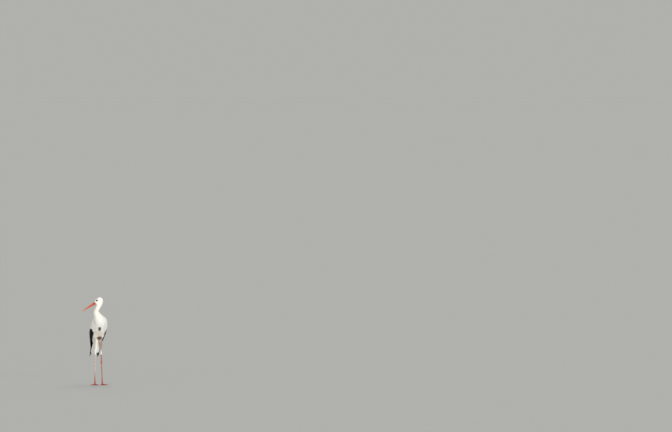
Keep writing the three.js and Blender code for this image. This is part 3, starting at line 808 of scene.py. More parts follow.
class StorkSkin(bpy.types.Operator):
    """Lays one skin under the whole coat, with the bare patches and lids round the eyes"""

    bl_idname = "stork.skin"
    bl_label = "Skin"

    def execute(self, context):
        def white(t, turn):
            return 0 * t

        def tail(t, turn):
            return tail_surface(t, turn, -3 + 2 * smooth(t, 0.3, 0.7))

        body = loft(lambda t, turn: body_surface(t, turn, -coat_depth(t)), 300, 112)
        body["dark"] = bare_patch(body["points"])
        parts = [body]
        for side, sign in SIDES.items():
            limb = limb_surface(THIGH, sign)
            thigh = loft(lambda t, turn: limb(t, turn, -3.6 + 2.4 * smooth(t, 0.3, 1)), 40, 36, dark=white)
            parts += [thigh, wing_plate(side), eyelid(sign)]
        parts.append(loft(tail, 30, 40, last=0.72, dark=white))
        covered = ("head", "neck", "trunk", "tail", "thigh", "wing_coverts")
        solids = [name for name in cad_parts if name.startswith(covered)]
        new_piece("skin", joined(parts), downy_skin(), solids)
        return {"FINISHED"}


# ---------------------------------------------------------------- eyes and lids


def eye_axes(sign):
    """Centre of an eye, and its outward, forward and upward directions; it looks a little ahead and up."""
    out = unit(sign * LEFT + 0.22 * FORWARD + 0.4 * UP)
    front = unit(FORWARD - (FORWARD @ out) * out)
    return MID_EYE + sign * EYE_ASIDE * LEFT, out, front, np.cross(front, out) * sign


def skin_height(points, axes):
    """Height of the head's skin over each point along an eye's axis, from three places of a fine grid."""
    centre, out, front, up = axes
    t = np.linspace(0.02, 0.3, 160)[:, None]
    turn = np.linspace(-np.pi, np.pi, 260)[None]
    skin = body_surface(t, turn, -coat_depth(t)).reshape(-1, 3) - centre
    skin = skin[(skin @ out > 0) & (np.hypot(skin @ front, skin @ up) < 16)]
    flat = [np.stack((place @ front, place @ up), -1) for place in (points - centre, skin)]
    gap = ((flat[0][:, None] - flat[1][None]) ** 2).sum(-1)
    near = np.argpartition(gap, 3, 1)[:, :3]
    weight = 1 / (np.take_along_axis(gap, near, 1) + 0.01)
    return ((skin @ out)[near] * weight).sum(1) / weight.sum(1)


def eyelid(sign):
    """The two lids as one almond ring: a rounded rim lying on the ball, running out into the skin round it.

    The section is a list of radii from the eye's axis and heights along it; the radii are stretched by a
    seventh ahead, by an eleventh behind and narrowed by an eighth up and down, and the rim is creased by a
    fine wave. From 5.7 to 7.4 mm out the top of the section goes over to the skin's own height, and then
    it dips under it.
    """
    centre, out, front, up = eye_axes(sign)
    profile = np.array((
        (4.9, 4.6), (4.95, 5.8), (5.15, 6.25), (5.6, 6.35), (6.1, 6.35), (6.6, 6.3), (7.1, 6.3), (7.6, 6.2),
        (8.1, 6.2), (8.5, 6.2), (8.6, 3), (7.6, 0), (5.5, 1),
    ))
    place = np.linspace(0, 1, 53)[:-1]
    top = place < 9.2 / len(profile)
    dense = through(np.vstack((profile, profile[:1])), place)
    turn = (np.arange(96) / 96 * TAU)[:, None]
    radius, height = dense[:, 0][None], dense[:, 1][None]
    oval = 1 + 0.12 * np.cos(2 * turn) + 0.03 * np.cos(turn)
    crease = 0.09 * np.sin(14 * turn + 2 * np.sin(3 * turn)) * smooth(radius, 5.6, 7)
    rim = (radius * oval)[..., None] * (np.cos(turn)[..., None] * front + np.sin(turn)[..., None] * up)
    rings, sides = rim.shape[:2]
    skin = skin_height((centre + rim).reshape(-1, 3), (centre, out, front, up)).reshape(rings, sides)
    over = height + crease
    over = over + smooth(radius, 5.7, 7.4) * (skin + 0.1 - 1.4 * smooth(radius, 7.2, 8.4) - over)
    height = np.where(top, over, np.minimum(height, skin - 1.3))
    points = centre + rim + height[..., None] * out
    number = np.arange(rings * sides).reshape(rings, sides)
    across, along = np.roll(number, -1, 1), np.roll(number, -1, 0)
    quads = np.stack((number, across, np.roll(across, -1, 0), along), -1).reshape(-1, 4)
    flat = points.reshape(-1, 3)
    a, b, c, d = (flat[quads[:, k]] - centre for k in range(4))
    volume = (a * np.cross(b, c)).sum() + (a * np.cross(c, d)).sum()
    return {
        "points": flat,
        "quads": quads if volume > 0 else quads[:, ::-1],
        "tris": np.empty((0, 3), int),
        "dark": np.ones(len(flat)),
    }


class StorkEyes(bpy.types.Operator):
    """Sets the two glossy eyes in their lids"""

    bl_idname = "stork.eyes"
    bl_label = "Eyes"

    def execute(self, context):
        material = wet_eye()
        for side, sign in SIDES.items():
            centre, out, front, up = eye_axes(sign)

            def ball(t, turn):
                """A ball about the eye's axis, with the cornea raised round it by 0.5 mm in a bell."""
                off = t * np.pi
                radius = EYE_RADIUS + 0.5 * np.exp(-((off / 0.55) ** 2))
                ring = np.cos(turn)[..., None] * front + np.sin(turn)[..., None] * up
                along, aside = radius * np.cos(off), radius * np.sin(off)
                return centre + along[..., None] * out + aside[..., None] * ring

            part = loft(ball, 48, 48, 0.008, 0.992, axis=lambda t, turn: t * np.pi)
            new_piece(f"eye_ball_{side}", part, material, [f"eye_{side}"])
        return {"FINISHED"}


# ---------------------------------------------------------------- bill


def mandible(upper):
    """One half of the closed bill, as sections along its axis.

    From the mouth line to the ridge the half width times the cosine of turn to the power 0.8 goes aside
    and the rest of the depth times its sine to the power 0.9 goes up or down, so that the ridge is narrow
    and the cheeks are flat. The mouth side is a shallow arc. The nostril is a slit pressed in by a bell.
    """
    way = 1 if upper else -1

    def section(t, turn):
        """Distance from the base, half width, depth, height of the mouth line and of the point."""
        t, turn = np.broadcast_arrays(t, turn)
        share, half, deep = np.moveaxis(through(BILL, t), -1, 0)
        mouth = -np.minimum(1.2, 0.5 * deep) + way * np.minimum(0.22, 0.2 * deep)
        ridge = np.abs(np.sin(turn)) ** 0.9
        inner = -way * 0.15 * np.minimum(half, 1) * ridge
        high = mouth + np.where(np.sin(turn) > 0, way * (deep + way * mouth) * ridge, inner)
        return share * BILL_LENGTH, half, deep, mouth, high

    def slit(t, turn):
        """The nostril: a bell 0.8 mm high on each cheek, between 14 and 25 mm from the base."""
        distance, _, deep, _, high = section(t, turn)
        bell = np.exp(-(((high - 0.42 * deep) / 0.8) ** 2)) * (np.sin(turn) > 0) * upper
        return bell * smooth(distance, 12, 15) * smooth(distance, 26, 22)

    def surface(t, turn):
        distance, half, _, mouth, high = section(t, turn)
        sine, cosine = np.sin(turn), np.cos(turn)
        flank = np.sign(cosine) * np.abs(cosine) ** 0.8 * (1 - 0.07 * np.abs(sine) ** 0.9)
        rings = 0.12 * np.sin(distance * 2.1 + 1.5 * np.sin(distance * 0.4)) * smooth(distance, 26, 4)
        wide = half * flank * np.where(sine > 0, 1, 0.97) * (1 + 0.01 * rings)
        wide = wide - np.sign(wide) * 1.6 * slit(t, turn)
        high = high + 0.3 * rings * (high - mouth) / 12
        ahead = distance - 3 * (1 - t) ** 4
        return BILL_BASE + ahead[..., None] * FORWARD + wide[..., None] * LEFT + high[..., None] * UP

    # mark carries where the nostril slits are, for their painted shade in the bill's material.
    return loft(surface, 240, 96, mark=slit, axis=lambda t, turn: through(BILL[:, 0], t))


class StorkBill(bpy.types.Operator):
    """Makes the two halves of the closed bill, with nostrils, ridge and mouth line"""

    bl_idname = "stork.bill"
    bl_label = "Bill"

    def execute(self, context):
        material = bill_horn()
        new_piece("bill_upper_sheath", mandible(True), material, ["bill_upper"])
        new_piece("bill_lower_sheath", mandible(False), material, ["bill_lower"])
        return {"FINISHED"}


# ---------------------------------------------------------------- legs and feet


def hexagons(along, around):
    """Six-sided scales on a plane of cell widths: 1 in a cell, falling to 0 at its edges.

    The nearer of two shifted grids gives the cell, and the distance to its edge is the largest of the
    distances along its three axes.
    """
    along = along + 0.12 * np.sin(1.7 * around + 0.31 * along)
    place = np.stack(np.broadcast_arrays(around, along), -1)
    grid = np.array((1, np.sqrt(3)))
    first = place % grid - grid / 2
    second = (place - grid / 2) % grid - grid / 2
    near = np.where((first**2).sum(-1, keepdims=True) < (second**2).sum(-1, keepdims=True), first, second)
    near = np.abs(near)
    out = np.maximum(near[..., 0], near[..., 0] / 2 + near[..., 1] * np.sqrt(3) / 2)
    return 1 - smooth(out, 0.33, 0.5)


def leg_mesh(sign):
    """Bare leg from under the thigh feathers to the foot, with the scales raised by 0.35 mm."""
    surface = limb_surface(SHANK, sign)
    total = SHANK[0, 2] - SHANK[-1, 2]

    def scales(t, turn):
        height = through(SHANK[:, 2], t)
        return hexagons((total - height) / 2.3, turn / TAU * 14)

    return loft(lambda t, turn: surface(t, turn, 0.35 * scales(t, turn) - 0.2), 470, 70, mark=scales)


def toe_axes(sign, name):
    """Heading of a toe over the floor, and the level direction square to it."""
    angle = np.radians(TOES[name][0])
    heading = np.array((sign * np.sin(angle), -np.cos(angle), 0))
    return heading, np.array((-heading[1], heading[0], 0))


def hub(sign):
    return np.array((sign * LEG_SPACING / 2, FOOT_BACK, 0))


def toe_mesh(sign, name):
    """One toe lying on the floor, with swollen joints, cross scutes on top and small scales below.

    The middle line is a smooth curve down from the instep. The radius tapers, swells by a cosine at each
    joint, and closes like the end of an ellipse. What would go under the floor is pressed flat on it.
    """
    heading, across = toe_axes(sign, name)
    _, length, joints = TOES[name]
    low = TOE_RADIUS - 0.9
    line = np.stack((
        length * np.array((0, 0.2, 0.5, 0.8, 1)),
        (11, low + 1.6, low, low - 0.4, low - 0.9),
    ), -1)

    def scales(t, turn):
        distance = t * length
        small = hexagons(distance / 1.9, turn / TAU * 12)
        bars = smooth(np.abs(((distance / 2.7) % 1) - 0.5), 0.5, 0.32)
        top = smooth(np.cos(turn), 0.1, 0.5)
        return small * (1 - top) + bars * top

    def surface(t, turn):
        t, turn = np.broadcast_arrays(t, turn)
        run, height = np.moveaxis(through(line, t), -1, 0)
        way = slope(line, t)
        swell = np.maximum(np.cos(t * joints * TAU), 0) ** 2
        taper = 1.35 - 0.62 * np.minimum(1, t * 1.15)
        tip = np.sqrt(np.clip(1 - np.clip((t - 0.9) / 0.1, 0, 1) ** 2, 0.02, 1))
        radius = (TOE_RADIUS * taper + 0.55 * swell) * tip + 0.28 * (scales(t, turn) - 0.6)
        wide = radius * np.sin(turn) * 1.02
        deep = radius * np.cos(turn)
        flat = hub(sign) + (run - way[..., 1] * deep)[..., None] * heading + wide[..., None] * across
        flat[..., 2] = np.maximum(height + way[..., 0] * deep, 0.02)
        return flat

    return loft(surface, int(length * 1.7), 60, mark=scales)


def web_mesh(sign, one, other, reach):
    """The small web between two toes: a thin sheet whose free edge curves back between them."""
    ends = [toe_axes(sign, name)[0] for name in (one, other)]
    out = np.linspace(0.05, 0.95, 14)
    share = np.concatenate((out, out[::-1]))[None]
    t = np.linspace(0.2, 1, 14)[:, None]
    top = np.where(np.arange(28) < 14, 1, -1)[None]
    distance = reach * t * (1 - 0.42 * np.sin(np.pi * share))
    heading = (1 - share)[..., None] * ends[0] + share[..., None] * ends[1]
    place = hub(sign) + distance[..., None] * heading
    place[..., 2] = 3.1 - 0.9 * t + top * 0.8 * (1.1 - t)
    made = capped(place)
    made["mark"] = np.full(len(made["points"]), 0.7)
    return made


def instep_mesh(sign):
    """The knob where the toes meet the leg: a ball, flattened below, with small scales."""
    centre = hub(sign) + (0, 0, 8.6)

    def scales(t, turn):
        return hexagons(t * 12, turn / TAU * 16)

    def surface(t, turn):
        off = t * np.pi
        radius = 9.3 + 0.3 * scales(t, turn)
        ring = np.stack(np.broadcast_arrays(np.sin(turn), np.cos(turn), 0 * turn), -1)
        made = centre + (radius * np.sin(off))[..., None] * ring
        made[..., 2] += radius * np.cos(off)
        made[..., 2] = np.maximum(made[..., 2], 0.6)
        return made

    return loft(surface, 40, 64, 0.03, 0.97, mark=scales)


def claw_mesh(sign, name):
    """A flat blunt nail that curves down from the end of its toe, tapering as one minus 0.75 t squared."""
    heading, across = toe_axes(sign, name)
    length = TOES[name][1]
    reach = 8 if name == "hind" else 10

    def surface(t, turn):
        t, turn = np.broadcast_arrays(t, turn)
        taper = 1 - 0.75 * t**2
        run = length - 3 + (reach + 3) * t
        height = 3.6 - 2.0 * t**1.6
        wide, deep = 2.5 * taper * np.sin(turn), 1.7 * taper * np.cos(turn)
        made = hub(sign) + run[..., None] * heading + wide[..., None] * across
        made[..., 2] = np.maximum(height + deep, 0.03)
        return made

    return loft(surface, 24, 28, axis=lambda t, turn: t)


class StorkLegs(bpy.types.Operator):
    """Makes the bare scaly legs, the feet with their small webs, and the claws"""

    bl_idname = "stork.legs"
    bl_label = "Legs and feet"

    def execute(self, context):
        nail = claw_horn()
        for side, sign in SIDES.items():
            skin = scaly_skin(f"leg_scales_{side}", 0.3 if side == "right" else 0.0)
            leg = [f"tibia_{side}", f"tarsus_{side}"]
            new_piece(f"leg_skin_{side}", leg_mesh(sign), skin, leg)
            toes = [toe_mesh(sign, name) for name in TOES]
            webs = [web_mesh(sign, "middle", "outer", 30), web_mesh(sign, "inner", "middle", 22)]
            foot = joined([instep_mesh(sign), *toes, *webs])
            new_piece(f"foot_skin_{side}", foot, skin, [f"foot_{side}"])
            claws = joined([claw_mesh(sign, name) for name in TOES])
            new_piece(f"claws_{side}", claws, nail, [f"claw_{side}_{name}" for name in TOES])
        return {"FINISHED"}


# ---------------------------------------------------------------- coat


def body_unwrap(t, turn):
    """The body opened along its belly: turn across and t along."""
    return 0.5 + 0.49 * turn / np.pi * 0.98, 0.01 + 0.98 * np.clip(t, 0, 1)


def wing_unwrap(t, share):
    return 0.02 + 0.96 * np.clip(share, 0, 1), 0.01 + 0.98 * np.clip(t, 0, 1)


def scattered_roots(surface, size_at, first, last, cover, low=-np.pi, high=np.pi):
    """Root places spread evenly over a surface of (t, turn), so that feathers lie cover deep.

    The count up to t grows with the way round the section over a feather's area; the steps of an even
    sequence then give each root its share of that count and its turn from low to high, and roots are
    dropped where the sections crowd together, as on the throat.
    """
    t = np.linspace(first, last, 240)
    turn = np.linspace(low, high, 49)
    ring = surface(t[:, None], turn[None], 0.0)
    around = np.linalg.norm(np.diff(ring, axis=1), axis=-1).sum(1)
    step = np.linalg.norm(np.gradient(ring, axis=0), axis=-1)
    length, width = size_at(t)
    count = np.concatenate(([0], np.cumsum(around * step.max(1) / (length * width) * cover)[:-1]))
    number = np.arange(1, int(count[-1]))
    at_t = np.interp(number * STEP_ALONG % 1 * count[-1], count, t)
    at_turn = number * STEP_ROUND % 1
    crowding = step / step.max(1, keepdims=True)
    row_at = np.rint((at_t - first) / (last - first) * (len(t) - 1)).astype(int)
    column_at = np.rint(at_turn * (len(turn) - 1)).astype(int)
    keep = number * STEP_KEEP % 1 < crowding[row_at, column_at]
    return at_t[keep], low + (high - low) * at_turn[keep]


def under_wing(t, turn, margin):
    """True where a root on the trunk lies well under a folded wing."""
    y = through(BODY[:, 1], t)
    first = np.interp(y, WING[:, 0], WING[:, 6]) + margin
    last = np.interp(y, WING[:, 0], WING[:, 7]) - margin
    angle = np.abs(np.degrees(turn))
    return (angle > first) & (angle < last) & (y > -100) & (t > 0.7)


def body_tract(first, last, cover, seed, rings, sides):
    """The feathers of one length of the body, all lying towards the tail.

    On the breast they are long and pointed like lances, on the mantle and trunk broad and rounded.
    """
    rng = np.random.default_rng(seed)
    t, turn = scattered_roots(body_surface, lambda at: through(COAT[:, :2], at).T, first, last, cover)
    root_place = body_surface(t, turn, -1.5)
    keep = ~under_wing(t, turn, 14) & (bare_patch(root_place) < 0.3)
    t, turn = t[keep], turn[keep]
    length, width, depth, stand = through(COAT, t).T
    section = t * SECTIONS
    ventral = (1 - np.cos(turn)) / 2
    low, front = smooth(section, 11, 13), smooth(section, 17, 15)
    breast = low * front * ventral
    mantle = low * (1 - ventral) ** 0.7
    count = len(t)
    length = length * (1 + 0.35 * breast - 0.35 * mantle * front) * rng.uniform(0.85, 1.15, count)
    width = width * (1 - 0.1 * breast + 0.5 * mantle * smooth(section, 17, 14))
    width = width * rng.uniform(0.85, 1.15, count)
    pointed = np.clip(1.6 + 1.2 * mantle + 0.9 * smooth(section, 15, 17), 1.6, 2.8)
    return vanes(
        body_surface, t, turn, length, width, body_unwrap, turn=rng.normal(0, 0.1, count), root=-depth + 0.2,
        tip=-0.12 * depth - 0.25 + stand * rng.uniform(0, 1, count),
        tilt=rng.normal(0, 0.012, count) * width, curl=stand * rng.uniform(-0.5, 0.3, count),
        bend=rng.normal(0, 0.04, count), camber=rng.uniform(0.03, 0.07, count),
        thick=0.1 + 0.016 * width, outline=(0.28, pointed, 0.65), rings=rings, sides=sides,
        tone=rng.uniform(0, 1, count),
    )


class StorkCoat(bpy.types.Operator):
    """Lays the small feathers of head, neck, breast, trunk and thighs, each tract in its own piece"""

    bl_idname = "stork.coat"
    bl_label = "Coat"

    def execute(self, context):
        short = white_feathers("white_face_feathers", 1.2, 4.0)
        white = contour_white()
        for name, material, first, last, cover, seed, rings, sides in (
            ("coat_face", short, 0.002, FACE_LAST, 10.0, 3, 3, 4),
            ("coat_nape", short, FACE_LAST - 0.012, HEAD_LAST, 10.0, 7, 3, 4),
            ("coat_neck", short, HEAD_LAST - 0.02, NECK_LAST, 11.0, 4, 4, 4),
            ("coat_breast", white, NECK_LAST - 0.04, 16 / SECTIONS, 11.0, 5, 7, 6),
            ("coat_trunk", white, 15.3 / SECTIONS, 0.985, 9.0, 6, 6, 6),
        ):
            new_piece(name, body_tract(first, last, cover, seed, rings, sides), material)
        for side, sign in SIDES.items():
            thigh = joined([thigh_tract(sign), thigh_collar(sign)])
            new_piece(f"coat_thigh_{side}", thigh, white)
        return {"FINISHED"}


def tract(rng, surface, t, across, length, width, turn, root, tip, tilt, outline, unwrap=body_unwrap,
          camber=0.05, thick=0.35, rings=6, sides=4, curl=None, bend=None):
    """The feathers of a tract, one at each root.

    Length, width, tip and curl are drawn evenly between two values, turn, tilt and bend about a middle
    value with a spread. A bend or curl that isn't given draws nothing.
    """
    count = len(t)
    return vanes(
        surface, t, across, rng.uniform(*length, count), rng.uniform(*width, count), unwrap,
        turn=rng.normal(*turn, count), root=root, tip=rng.uniform(*tip, count), tilt=rng.normal(*tilt, count),
        curl=rng.uniform(*curl, count) if curl else 0.0, bend=rng.normal(*bend, count) if bend else 0.0,
        camber=camber, thick=thick, outline=outline, rings=rings, sides=sides, tone=rng.uniform(0, 1, count),
    )


def thigh_tract(sign):
    """The hanging feathers of one thigh, shorter towards the bare shank."""

    def size_at(t):
        return 38 - 18 * t, 11 - 4.5 * t

    surface = limb_surface(THIGH, sign)
    t, turn = scattered_roots(surface, size_at, 0.02, 0.93, 9.0)
    length, width = size_at(t)
    return tract(
        np.random.default_rng(THIGH_SEED + sign), surface, t, turn, (0.85 * length, 1.15 * length),
        (0.85 * width, 1.15 * width), (0, 0.12), -3.2 + 2 * t, (-0.8, 0), (0, 0.012 * width), (0.3, 2.1, 0.7),
        thick=0.3, curl=(-0.4, 0.4), bend=(0, 0.05),
    )


def thigh_collar(sign):
    """Belly feathers that hang over the top of one thigh, their tips standing off the body on its front."""
    rng = np.random.default_rng(COLLAR_SEED + sign)
    section = rng.uniform(16.9, 18.3, 300)
    off = rng.uniform(-0.05, 0.72, 300)  # round from the middle of the belly
    ahead = smooth(section, 18.2, 17.4)
    keep = (ahead > 0.35) | (off > 0.4)
    section, off, ahead = section[keep], off[keep], ahead[keep]
    hang = 3 * smooth(section, 16.9, 17.4) + 7 * ahead * smooth(section, 17.1, 17.7)
    return tract(
        rng, body_surface, section / SECTIONS, sign * (np.pi - off), (38, 52), (12, 17), (0, 0.1), -3.0,
        (-0.6, 0.2), (0, 0.2), (0.3, 2.2, 0.7), curl=(0.6 * hang, 1.1 * hang),
    )


# ---------------------------------------------------------------- wings and tail


def edge_of_white(surface, share):
    """How far along the wing the edge of the white coverts lies, at each share of its width."""
    t = np.linspace(0.1, 0.75, 261)
    place = surface(t[:, None], share[None], 0.0)
    below = place[..., 2] < edge_height(place[..., 1])
    return t[np.argmax(below, 0)]


def row(surface, rng, shares, first, last, width, root, tip, tilt, outline, rings=9, thick=0.8, camber=0.08):
    """One row of wing feathers, each along its own share of the wing's width from first to last."""
    count = len(shares)
    first = np.broadcast_to(first, count) + rng.normal(0, 0.002, count)
    last = np.broadcast_to(last, count) + rng.normal(0, 0.003, count)
    ends = surface(np.stack((first, last), -1), np.stack((shares, shares), -1), 0.0)
    reach = np.linalg.norm(ends[:, 1] - ends[:, 0], axis=-1)
    return vanes(
        surface, first, shares, reach, width * rng.uniform(0.95, 1.05, count), wing_unwrap,
        turn=rng.normal(0, 0.012, count), root=root, tip=tip + rng.normal(0, 0.15, count), tilt=tilt,
        outline=outline, rings=rings, sides=6, tone=rng.uniform(0.2, 0.8, count), thick=thick, camber=camber,
        last=last,
    )


def white_wing(side):
    """The white tracts of one wing: small coverts, larger towards their edge, and scapulars over its top.

    The last row of coverts ends on the edge itself, in even scallops. Near its inner edge the whole cover is
    let down on to the back, most at the shoulder.
    """
    wing = wing_surface(side)

    def surface(t, share, lift=0.0):
        down = (1.6 + 2.6 * smooth(t, 0.25, 0.08)) * smooth(share, 0.1, -0.06) * smooth(t, 0.42, 0.3)
        return wing(t, share, lift - down)

    rng = np.random.default_rng(WHITES_SEED + SIDES[side])
    parts = []
    grid = np.linspace(-0.12, 1.04, 59)
    edge = edge_of_white(surface, grid)
    for first, last, low, high, cover, size_at, lift in (
        (0.0, 0.5, 0.0, 1.04, 7.0, lambda t: (18 + 46 * t, 9 + 20 * t), -0.9),
        (0.0, 0.42, 0.9, 1.12, 7.0, lambda t: (15 + 20 * t, 6.5 + 8 * t), -0.6),
        (0.07, 0.5, -0.04, 0.3, 5.0, lambda t: (44 + 30 * t, 19 + 12 * t), -0.2),
    ):
        t, share = scattered_roots(surface, size_at, first, last, cover, low, high)
        length, width = size_at(t)
        keep = t + length / COVERT_PACE < np.interp(share, grid, edge) - 0.004
        t, share, length, width = t[keep], share[keep], length[keep], width[keep]
        parts.append(tract(
            rng, surface, t, share, (0.9 * length, 1.1 * length), (0.9 * width, 1.1 * width), (0, 0.05), -3.2,
            (lift - 0.3, lift + 0.4), (0.1, 0.15), (0.3, 2.8, 0.6), wing_unwrap, 0.08, 0.45, 7, 6,
        ))
    # Feathers of the mantle cross from the back on to the upper edge of the wing.
    t, share = scattered_roots(surface, lambda t: (30 + 0 * t, 16 + 0 * t), -0.03, 0.365, 8.0, -0.17, 0.0)
    parts.append(tract(
        rng, surface, t, share, (32, 42), (13, 18), (0.4, 0.1), -6.5, (-0.9, 0.2), (0, 0.12), (0.3, 2.6, 0.6),
        wing_unwrap, 0.05, 0.4, 7, 6,
    ))
    for back, lift in ((0.03, -1.1), (0.0, -0.7)):
        shares = np.arange(0.0, 1.03, 0.062) + back
        tips = edge_of_white(surface, np.clip(shares, 0, 1)) - back * 0.6 + rng.normal(0, 0.004, len(shares))
        outline = (0.3, 3.0, 0.55)
        parts.append(row(surface, rng, shares, tips - 0.085, tips, 23, -3.0, lift, 0.4, outline, 7, 0.6, 0.1))
    # The feathers of the breast's side lie up over the front edge of the wing.
    t, share = scattered_roots(surface, lambda t: (26 + 0 * t, 9 + 0 * t), -0.03, 0.27, 5.0, 1.0, 1.2)
    parts.append(tract(
        rng, surface, t, share, (20, 34), (7, 10), (-0.16, 0.12), -3.2, (-1.2, -0.2), (0, 0.1),
        (0.3, 2.0, 0.7), wing_unwrap, rings=7, sides=6,
    ))
    return joined(parts)


def primary_surface(side, first, reach, angle):
    """A flat sheet for one primary: u from its root to its tip, v in mm across, lift outwards.

    It lies in the wing where the feather parts from it, and points along the wing's last stretch.
    """
    wing = wing_surface(side)
    low, high = through(WING[:, 6:8], first)
    share = (angle - low) / (high - low)
    start = wing(first, share, -1 - through(WING[:, 5], first))
    outward = unit(wing(first, share, 9.0) - start)
    way = np.concatenate(([0], slope(WING[:, :2], 1.0)))
    across = unit(np.cross(way, outward))
    length = WING_LENGTH * (reach - first) + PRIMARY_HIDDEN

    def surface(u, v, lift=0.0):
        u, v, lift = (value[..., None] for value in np.broadcast_arrays(u, v, lift))
        return start + (u * length - PRIMARY_HIDDEN) * way + v * across + lift * outward

    return surface, length


def black_wing(side):
    """The black tracts of one wing: primaries, secondaries, greater coverts and tertials, from below up."""
    surface = wing_surface(side)
    rng = np.random.default_rng(BLACKS_SEED + SIDES[side])
    parts = []
    blade = (0.1, 7.0, 0.5)
    for level, (first, reach, angle, half) in enumerate(PRIMARIES):
        for under, shorter, shift in ((0, 0.0, 0.0), (1, 0.04, 3.0)):
            sheet, length = primary_surface(side, first, reach - shorter, angle + shift)
            tip = 0.4 * level - 1.2 * under
            parts.append(vanes(
                sheet, np.zeros(1), np.zeros(1), length, 2.0 * half, wing_unwrap, root=tip - 0.6, tip=tip,
                tilt=0.4, camber=0.06, thick=1.0, outline=(0.1, 5.0, 0.5), rings=16, sides=6,
                tone=0.3 + 0.2 * level, last=np.ones(1),
            ))
    shares = np.linspace(1.0, 0.2, 16)
    edge = edge_of_white(surface, shares)
    last = 0.62 + 0.34 * (1 - shares) ** 0.75
    parts.append(row(surface, rng, shares, edge - 0.08, last, 25, -4.2, -3.0, 0.9, blade, 14, 0.8))
    shares = np.linspace(1.01, 0.1, 15)
    edge = edge_of_white(surface, shares)
    last = edge + 0.15 + 0.02 * rng.uniform(-1, 1, 15)
    parts.append(row(surface, rng, shares, edge - 0.06, last, 23, -3.0, -1.5, 0.8, blade, 10, 0.7))
    shares = np.array((0.46, 0.37, 0.28, 0.19, 0.1, 0.02))
    last = np.array((0.86, 0.89, 0.92, 0.935, 0.93, 0.9))
    parts.append(row(surface, rng, shares, 0.42, last, 38, -2.6, -0.3, 0.9, blade, 16, 0.9))
    return joined(parts)


def tail_tract():
    """Twelve tail feathers, the middle pair on top, under and over them the long white tail coverts."""

    def fan_unwrap(t, aside):
        return 0.5 + aside / 120, 0.02 + 0.9 * t

    def size_at(t):
        return 66 - 8 * t, 19 - 3 * t

    rng = np.random.default_rng(TAIL_SEED)
    place = np.linspace(-1, 1, 12)
    order = 1 - np.abs(place)
    first = np.full(len(place), 0.18)
    last = 0.985 - 0.085 * np.abs(place) ** 1.6
    ends = fan_surface(np.stack((first, last), -1), np.stack((place * 7, place * 29), -1), 0.0)
    reach = np.linalg.norm(ends[:, 1] - ends[:, 0], axis=-1)
    fan = vanes(
        fan_surface, first, place * 7, reach, 22.0, fan_unwrap, turn=np.arctan2(place * 23, reach),
        root=-2.0 + 3.2 * order, tip=-3.2 + 5.0 * order, tilt=-0.7 * np.sign(place), thick=0.7, camber=0.06,
        outline=(0.1, 6.0, 0.5), rings=18, sides=6, tone=rng.uniform(0, 1, len(place)),
    )
    t, turn = scattered_roots(tail_surface, size_at, 0.0, 0.52, 6.0)
    count = len(t)
    length, width = size_at(t)
    coverts = vanes(
        tail_surface, t, turn, length * rng.uniform(0.85, 1.1, count), width, body_unwrap,
        turn=rng.normal(0, 0.07, count), root=-4.0 + 2.0 * t, tip=rng.uniform(-0.8, 0.8, count),
        tilt=rng.normal(0, 0.4, count), thick=0.6, outline=(0.3, 2.4, 0.7), rings=8, sides=6,
        tone=rng.uniform(0, 1, count),
    )
    return joined([fan, coverts])


class StorkWings(bpy.types.Operator):
    """Lays the white coverts and scapulars, the black flight feathers and the tail"""

    bl_idname = "stork.wings"
    bl_label = "Wings and tail"

    def execute(self, context):
        white = contour_white()
        black = black_feathers("black_flight_feathers", 2.0, 1.2)
        for side in SIDES:
            new_piece(f"wing_whites_{side}", white_wing(side), white)
            flights = [f"wing_flights_{side}"]
            new_piece(f"wing_blacks_{side}", black_wing(side), black, flights)
        new_piece("tail_feathers", tail_tract(), white)
        return {"FINISHED"}


# ---------------------------------------------------------------- studio


def on_floor(height, width):
    """Share of a lamp's strength that reaches the floor, for its height and width in degrees.

    It is the mean, over the lamp's disc, of the sine of the height where that is above 0, with the disc
    weighed as the cone of light that it throws.
    """
    height, spread = np.radians((height, width / 2))
    off = np.arccos(np.linspace(np.cos(spread), 1, 65))[:, None]
    round_about = np.linspace(0, TAU, 129)[None, :-1]
    sine = np.sin(height) * np.cos(off) + np.cos(height) * np.sin(off) * np.sin(round_about)
    return np.maximum(sine, 0).mean() * 2 * (1 - np.cos(spread)) / np.sin(spread) ** 2


def lay_floor(scene):
    """A square board with its middle under the bird."""
    mesh = bpy.data.meshes.new("floor")
    corners = [(x * FLOOR_REACH, y * FLOOR_REACH, 0) for x, y in ((-1, -1), (1, -1), (1, 1), (-1, 1))]
    mesh.from_pydata(corners, [], [(0, 1, 2, 3)])
    mesh.materials.append(studio_floor())
    floor = bpy.data.objects.new("floor", mesh)
    scene.collection.objects.link(floor)


